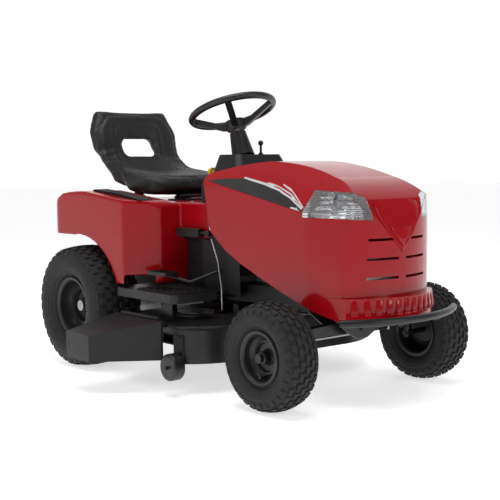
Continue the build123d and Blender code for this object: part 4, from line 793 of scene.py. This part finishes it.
# ------------------------------------------------------------------ fender
@dataclass
class FenderSkin:
    """The moulded fender with its corners rounded as a moulding's are."""

    node: str = "fender_body"
    voxel: float = 0.0032
    rounds: int = 14
    kept: float = 0.30

    def build(self, finishes: FinishSet) -> None:
        """Make the rounded fender in place of its plain solid."""
        piece = Workshop.merged_copy(self.node, "fender_skin")
        Workshop.modify(piece, "REMESH", mode="VOXEL", voxel_size=self.voxel)
        Workshop.modify(piece, "SMOOTH", factor=0.5, iterations=self.rounds)
        Workshop.modify(piece, "DECIMATE", ratio=self.kept)
        Workshop.take(piece)
        bpy.ops.object.shade_smooth()
        Workshop.place(piece, "chassis", Slot.RED.value, finishes.by_slot[Slot.RED])
        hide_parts(self.node)
        log.info("fender skin: %d faces", len(piece.data.polygons))


# ------------------------------------------------------------------ hood
class Facing(Enum):
    """The way that a conformed panel looks out of the machine."""

    FRONT = "front"
    RIGHT = "right"
    LEFT = "left"


@dataclass
class HoodTrim:
    """What stands on the hood: the lip's ribs, the nose shield and the films on its flanks."""

    lip_centre_x: float = 1007.7
    lip_radius: float = 288.3
    rib_count: int = 12
    rib_span: float = 366.0
    film_step: float = 0.15
    skin_reach: float = 300.0
    films: tuple[tuple[str, tuple[Point2, ...]], ...] = (
        ("silver", ((917, 650), (917, 699), (965, 680), (1001, 660), (1068, 617), (1068, 612))),
        ("red", ((912, 640), (912, 697.5), (964, 676.5), (1000, 656.5), (1068, 613), (1068, 610))),
        ("silver", ((850, 660), (850, 704), (905, 692), (968, 670), (990, 659), (1068, 614), (1068, 611))),
        ("red", ((845, 655), (845, 701.5), (904, 688.5), (967, 666.5), (989, 655.5), (1068, 612), (1068, 609))),
        ("silver", ((735, 680), (735, 721), (787, 711.5), (863, 696.5), (906, 684.5), (968, 662), (990, 653),
                    (1068, 612.5), (1068, 611))),
        ("black", ((588, 706), (592, 709), (646, 715), (735, 715.5), (824, 698), (904, 679), (968, 657), (990, 648),
                   (1068, 611))),
    )

    def panel(self, name: str, corners: Sequence[Point2], facing: Facing, lift: float, thick: float,
              bevel: float = 0.0) -> bpy.types.Object:
        """A thin panel cut to convex corners and laid on the hood's skin.

        Args:
            name: The piece's name.
            corners: Convex corners in millimetres, (y, z) for the front, (x, z) for a side.
            facing: The way it looks.
            lift: How far it stands off the skin, in millimetres.
            thick: Its thickness in millimetres.
            bevel: Its edge radius in millimetres, or 0 for none.

        Returns:
            The new piece.
        """
        us, vs = [c[0] for c in corners], [c[1] for c in corners]
        mid_u, mid_v = (min(us) + max(us)) / 2, (min(vs) + max(vs)) / 2
        size_u, size_v = max(us) - min(us) + 20, max(vs) - min(vs) + 20
        front = facing is Facing.FRONT
        sign = 1 if facing is Facing.LEFT else -1
        middle = at(1420, mid_u, mid_v) if front else at(mid_u, sign * 400, mid_v)
        turn = (math.pi / 2, 0, math.pi / 2) if front else (math.pi / 2, 0, math.pi if sign > 0 else 0)
        Workshop.clear()
        bpy.ops.mesh.primitive_grid_add(x_subdivisions=max(8, int(size_u / 6)),
                                        y_subdivisions=max(8, int(size_v / 6)),
                                        size=1, location=middle, rotation=turn,
                                        scale=(size_u * MM, size_v * MM, 1))
        piece = bpy.context.object
        piece.name = name
        Workshop.settle(piece)
        spots = [at(1420, u, v) if front else at(u, sign * 400, v) for u, v in corners]
        inside = sum(spots, Vector()) / len(spots)
        look = Vector((1, 0, 0)) if front else Vector((0, sign, 0))
        for a, b in zip(spots, spots[1:] + spots[:1]):
            out = (b - a).cross(look)
            if out.dot(inside - a) > 0:
                out.negate()
            Workshop.take(piece)
            bpy.ops.object.mode_set(mode="EDIT")
            bpy.ops.mesh.select_all(action="SELECT")
            bpy.ops.mesh.bisect(plane_co=a, plane_no=out, clear_outer=True)
            bpy.ops.object.mode_set(mode="OBJECT")
        settings: dict[str, object] = {"wrap_method": "PROJECT", "target": frame["nodes"]["hood"],
                                       "use_negative_direction": True, "use_positive_direction": True,
                                       "offset": lift * MM,
                                       ("use_project_x" if front else "use_project_y"): True}
        Workshop.modify(piece, "SHRINKWRAP", **settings)
        if not front:
            self.drop_missed(piece)
        Workshop.modify(piece, "SOLIDIFY", thickness=thick * MM, offset=1.0, use_even_offset=False)
        if bevel:
            Workshop.modify(piece, "BEVEL", width=bevel * MM, segments=2, angle_limit=math.radians(60))
        return Workshop.smooth(piece, 40)

    def drop_missed(self, piece: bpy.types.Object) -> None:
        """Delete the points of a side panel that found no skin to lie on."""
        Workshop.take(piece)
        bpy.ops.object.mode_set(mode="EDIT")
        bpy.ops.mesh.select_mode(type="VERT")
        bpy.ops.mesh.select_all(action="DESELECT")
        bpy.ops.object.mode_set(mode="OBJECT")
        for vertex in piece.data.vertices:
            vertex.select = abs(vertex.co.y - AXLE_SHIFT.y) > self.skin_reach * MM
        bpy.ops.object.mode_set(mode="EDIT")
        bpy.ops.mesh.delete(type="VERT")
        bpy.ops.object.mode_set(mode="OBJECT")

    def ribs(self, finishes: FinishSet) -> None:
        """Rounded upright ribs round the front of the hood's lip."""
        made = []
        pitch = self.rib_span / (self.rib_count - 1)
        for index in range(self.rib_count):
            y = -self.rib_span / 2 + pitch * index
            x = self.lip_centre_x + math.sqrt(self.lip_radius**2 - y * y)
            lean = math.atan2(y, x - self.lip_centre_x)
            rib = Workshop.block("rib", at(x - 1.5, y, 322), (11, pitch - 9, 50), 4.8, (0, math.radians(-7), lean), 3)
            made.append(rib)
        piece = Workshop.smooth(Workshop.join("lip_ribs", made), 40)
        Workshop.place(piece, "hood_lid", Slot.RED.value, finishes.by_slot[Slot.RED])

    def shield(self, finishes: FinishSet) -> None:
        """The two-step shield on the nose, plain."""
        lower = self.panel("nose_shield", [(-104, 640), (-92, 600), (-60, 548), (0, 486), (60, 548), (92, 600),
                                           (104, 640), (60, 652), (-60, 652)], Facing.FRONT, 0.2, 3.2, 1.2)
        upper = self.panel("nose_shield_step", [(-46, 566), (-40, 548), (0, 506), (40, 548), (46, 566)],
                           Facing.FRONT, 3.2, 3.0, 1.2)
        piece = Workshop.join("nose_shield", [lower, upper])
        Workshop.place(piece, "hood_lid", Slot.RED.value, finishes.by_slot[Slot.RED])

    def stripes(self, finishes: FinishSet) -> None:
        """The black stripe on each flank, with silver lines that fan out above its front half."""
        inks = {"silver": finishes.film("silver_film", (0.62, 0.62, 0.64)),
                "black": finishes.film("black_film", (0.007, 0.007, 0.008)),
                "red": finishes.by_slot[Slot.RED]}
        for facing, tag in ((Facing.RIGHT, "right"), (Facing.LEFT, "left")):
            for layer, (ink, corners) in enumerate(self.films):
                piece = self.panel(f"flank_film_{tag}_{layer}", corners, facing, 0.3 + layer * self.film_step, 0.1)
                Workshop.place(piece, "hood_lid", Slot.RED.value, inks[ink])

    def build(self, finishes: FinishSet) -> None:
        """Make all of the hood's trim."""
        self.ribs(finishes)
        self.shield(finishes)
        self.stripes(finishes)
        log.info("hood trim: %d ribs", self.rib_count)


# ------------------------------------------------------------------ small parts
@dataclass
class Lamps:
    """Bulbs and bright cups behind the clear lenses."""

    bulbs: tuple[tuple[float, float, float], ...] = ((1150, -172, 640), (1150, 172, 640))

    def build(self, finishes: FinishSet) -> None:
        """One cup with a bulb in each headlamp."""
        for x, y, z in self.bulbs:
            tag = "left" if y > 0 else "right"
            cup = Workshop.turned(f"lamp_cup_{tag}", [(-22, 5), (-18, 16), (-6, 25), (6, 29), (6, 31), (-8, 27),
                                                      (-20, 18), (-24, 5)], at(x, y, z), 48, (1, 0, 0))
            bulb = Workshop.turned("bulb", [(-22, 0.01), (-22, 5), (-10, 7), (-4, 6), (0, 3.5), (1.5, 0.01)],
                                   at(x, y, z), 24, (1, 0, 0))
            piece = Workshop.join(f"lamp_cup_{tag}", [Workshop.smooth(cup), Workshop.smooth(bulb)])
            Workshop.place(piece, "hood_lid", Slot.MIRROR.value, finishes.by_slot[Slot.MIRROR])


@dataclass
class Studio:
    """Pale floor, soft lamps, and the camera."""

    eye: Vector = field(default_factory=lambda: Vector((2.830, -2.346, 0.774)))
    azimuth: float = -40.91
    elevation: float = 4.69
    roll: float = -0.57
    lens: float = 73.5
    shift: tuple[float, float] = (-0.0168, -0.0106)

    def floor(self) -> None:
        """A wide pale floor that fades into the pale surroundings."""
        Workshop.clear()
        bpy.ops.mesh.primitive_circle_add(vertices=64, radius=30, fill_type="NGON", location=(0, 0, 0))
        floor = bpy.context.object
        floor.name = "studio_floor"
        sheet = Sheet("studio_floor_paint")
        sheet.link(sheet.blend(sheet.noise(2.0), (0.86, 0.86, 0.86), (0.88, 0.88, 0.88)),
                   sheet.shader.inputs["Base Color"])
        sheet.shader.inputs["Roughness"].default_value = 0.9
        sheet.shader.inputs["Specular IOR Level"].default_value = 0.1
        sheet.shader.inputs["Emission Color"].default_value = (1.0, 1.0, 1.0, 1.0)
        sheet.shader.inputs["Emission Strength"].default_value = 0.62
        floor.data.materials.append(sheet.material)

    def lamp(self, name: str, place: Vector, aim: Vector, size: tuple[float, float], power: float) -> None:
        """One soft rectangular lamp aimed at a point."""
        Workshop.clear()
        turn = (place - aim).to_track_quat("Z", "Y").to_euler()
        bpy.ops.object.light_add(type="AREA", location=place, rotation=turn)
        lamp = bpy.context.object
        lamp.name = name
        lamp.data.shape = "RECTANGLE"
        lamp.data.size, lamp.data.size_y = size
        lamp.data.energy = power

    def camera(self) -> None:
        """The camera at the viewing angle."""
        az, el, roll = (math.radians(a) for a in (self.azimuth, self.elevation, self.roll))
        back = Vector((math.cos(el) * math.cos(az), math.cos(el) * math.sin(az), math.sin(el)))
        right = Vector((0, 0, 1)).cross(back).normalized()
        up = back.cross(right)
        right, up = (right * math.cos(roll) + up * math.sin(roll), up * math.cos(roll) - right * math.sin(roll))
        Workshop.clear()
        bpy.ops.object.camera_add(location=self.eye)
        camera = bpy.context.object
        camera.matrix_world = Matrix((
            (right.x, up.x, back.x, self.eye.x), (right.y, up.y, back.y, self.eye.y),
            (right.z, up.z, back.z, self.eye.z), (0, 0, 0, 1)))
        camera.data.lens = self.lens
        camera.data.sensor_width = 36
        camera.data.shift_x, camera.data.shift_y = self.shift
        camera.data.clip_end = 100
        bpy.context.scene.camera = camera

    def build(self) -> None:
        """Set the whole studio."""
        self.floor()
        world = bpy.data.worlds.new("studio_air")
        world.use_nodes = True
        tree = world.node_tree
        tree.nodes["Background"].inputs["Color"].default_value = (1, 1, 1, 1)
        facing = tree.nodes.new("ShaderNodeVectorMath")
        facing.operation = "DOT_PRODUCT"
        facing.inputs[1].default_value = (-0.755, 0.656, 0.0)
        tree.links.new(tree.nodes.new("ShaderNodeTexCoord").outputs["Generated"], facing.inputs[0])
        strength = tree.nodes.new("ShaderNodeMapRange")
        for name, number in zip(("From Min", "From Max", "To Min", "To Max"), (0.15, 0.75, 0.16, 1.05)):
            strength.inputs[name].default_value = number
        tree.links.new(facing.outputs["Value"], strength.inputs["Value"])
        tree.links.new(strength.outputs[0], tree.nodes["Background"].inputs["Strength"])
        bpy.context.scene.world = world
        bpy.context.scene.view_settings.view_transform = "Standard"
        middle = Vector((0, 0, 0.4))
        self.lamp("top_lamp", Vector((0.4, -0.6, 3.6)), middle, (2.6, 1.6), 70)
        self.lamp("right_lamp", Vector((0.2, -4.2, 2.0)), middle, (2.4, 0.9), 42)
        self.lamp("front_lamp", Vector((4.2, 1.2, 1.8)), middle, (1.2, 1.8), 36)
        self.camera()


def main() -> None:
    """Build the mower's looks in order and report each part."""
    logging.basicConfig(level=logging.INFO, format="%(name)s: %(message)s")
    finishes = FinishSet()
    for node in sorted(frame["nodes"]):
        finishes.dress(node)
    log.info("dressed %d nodes", len(frame["nodes"]))
    WheelSet().build(finishes)
    SeatCushion().build(finishes)
    FenderSkin().build(finishes)
    HoodTrim().build(finishes)
    Lamps().build(finishes)
    Studio().build()
    Workshop.clear()


if __name__ == "__main__":
    main()
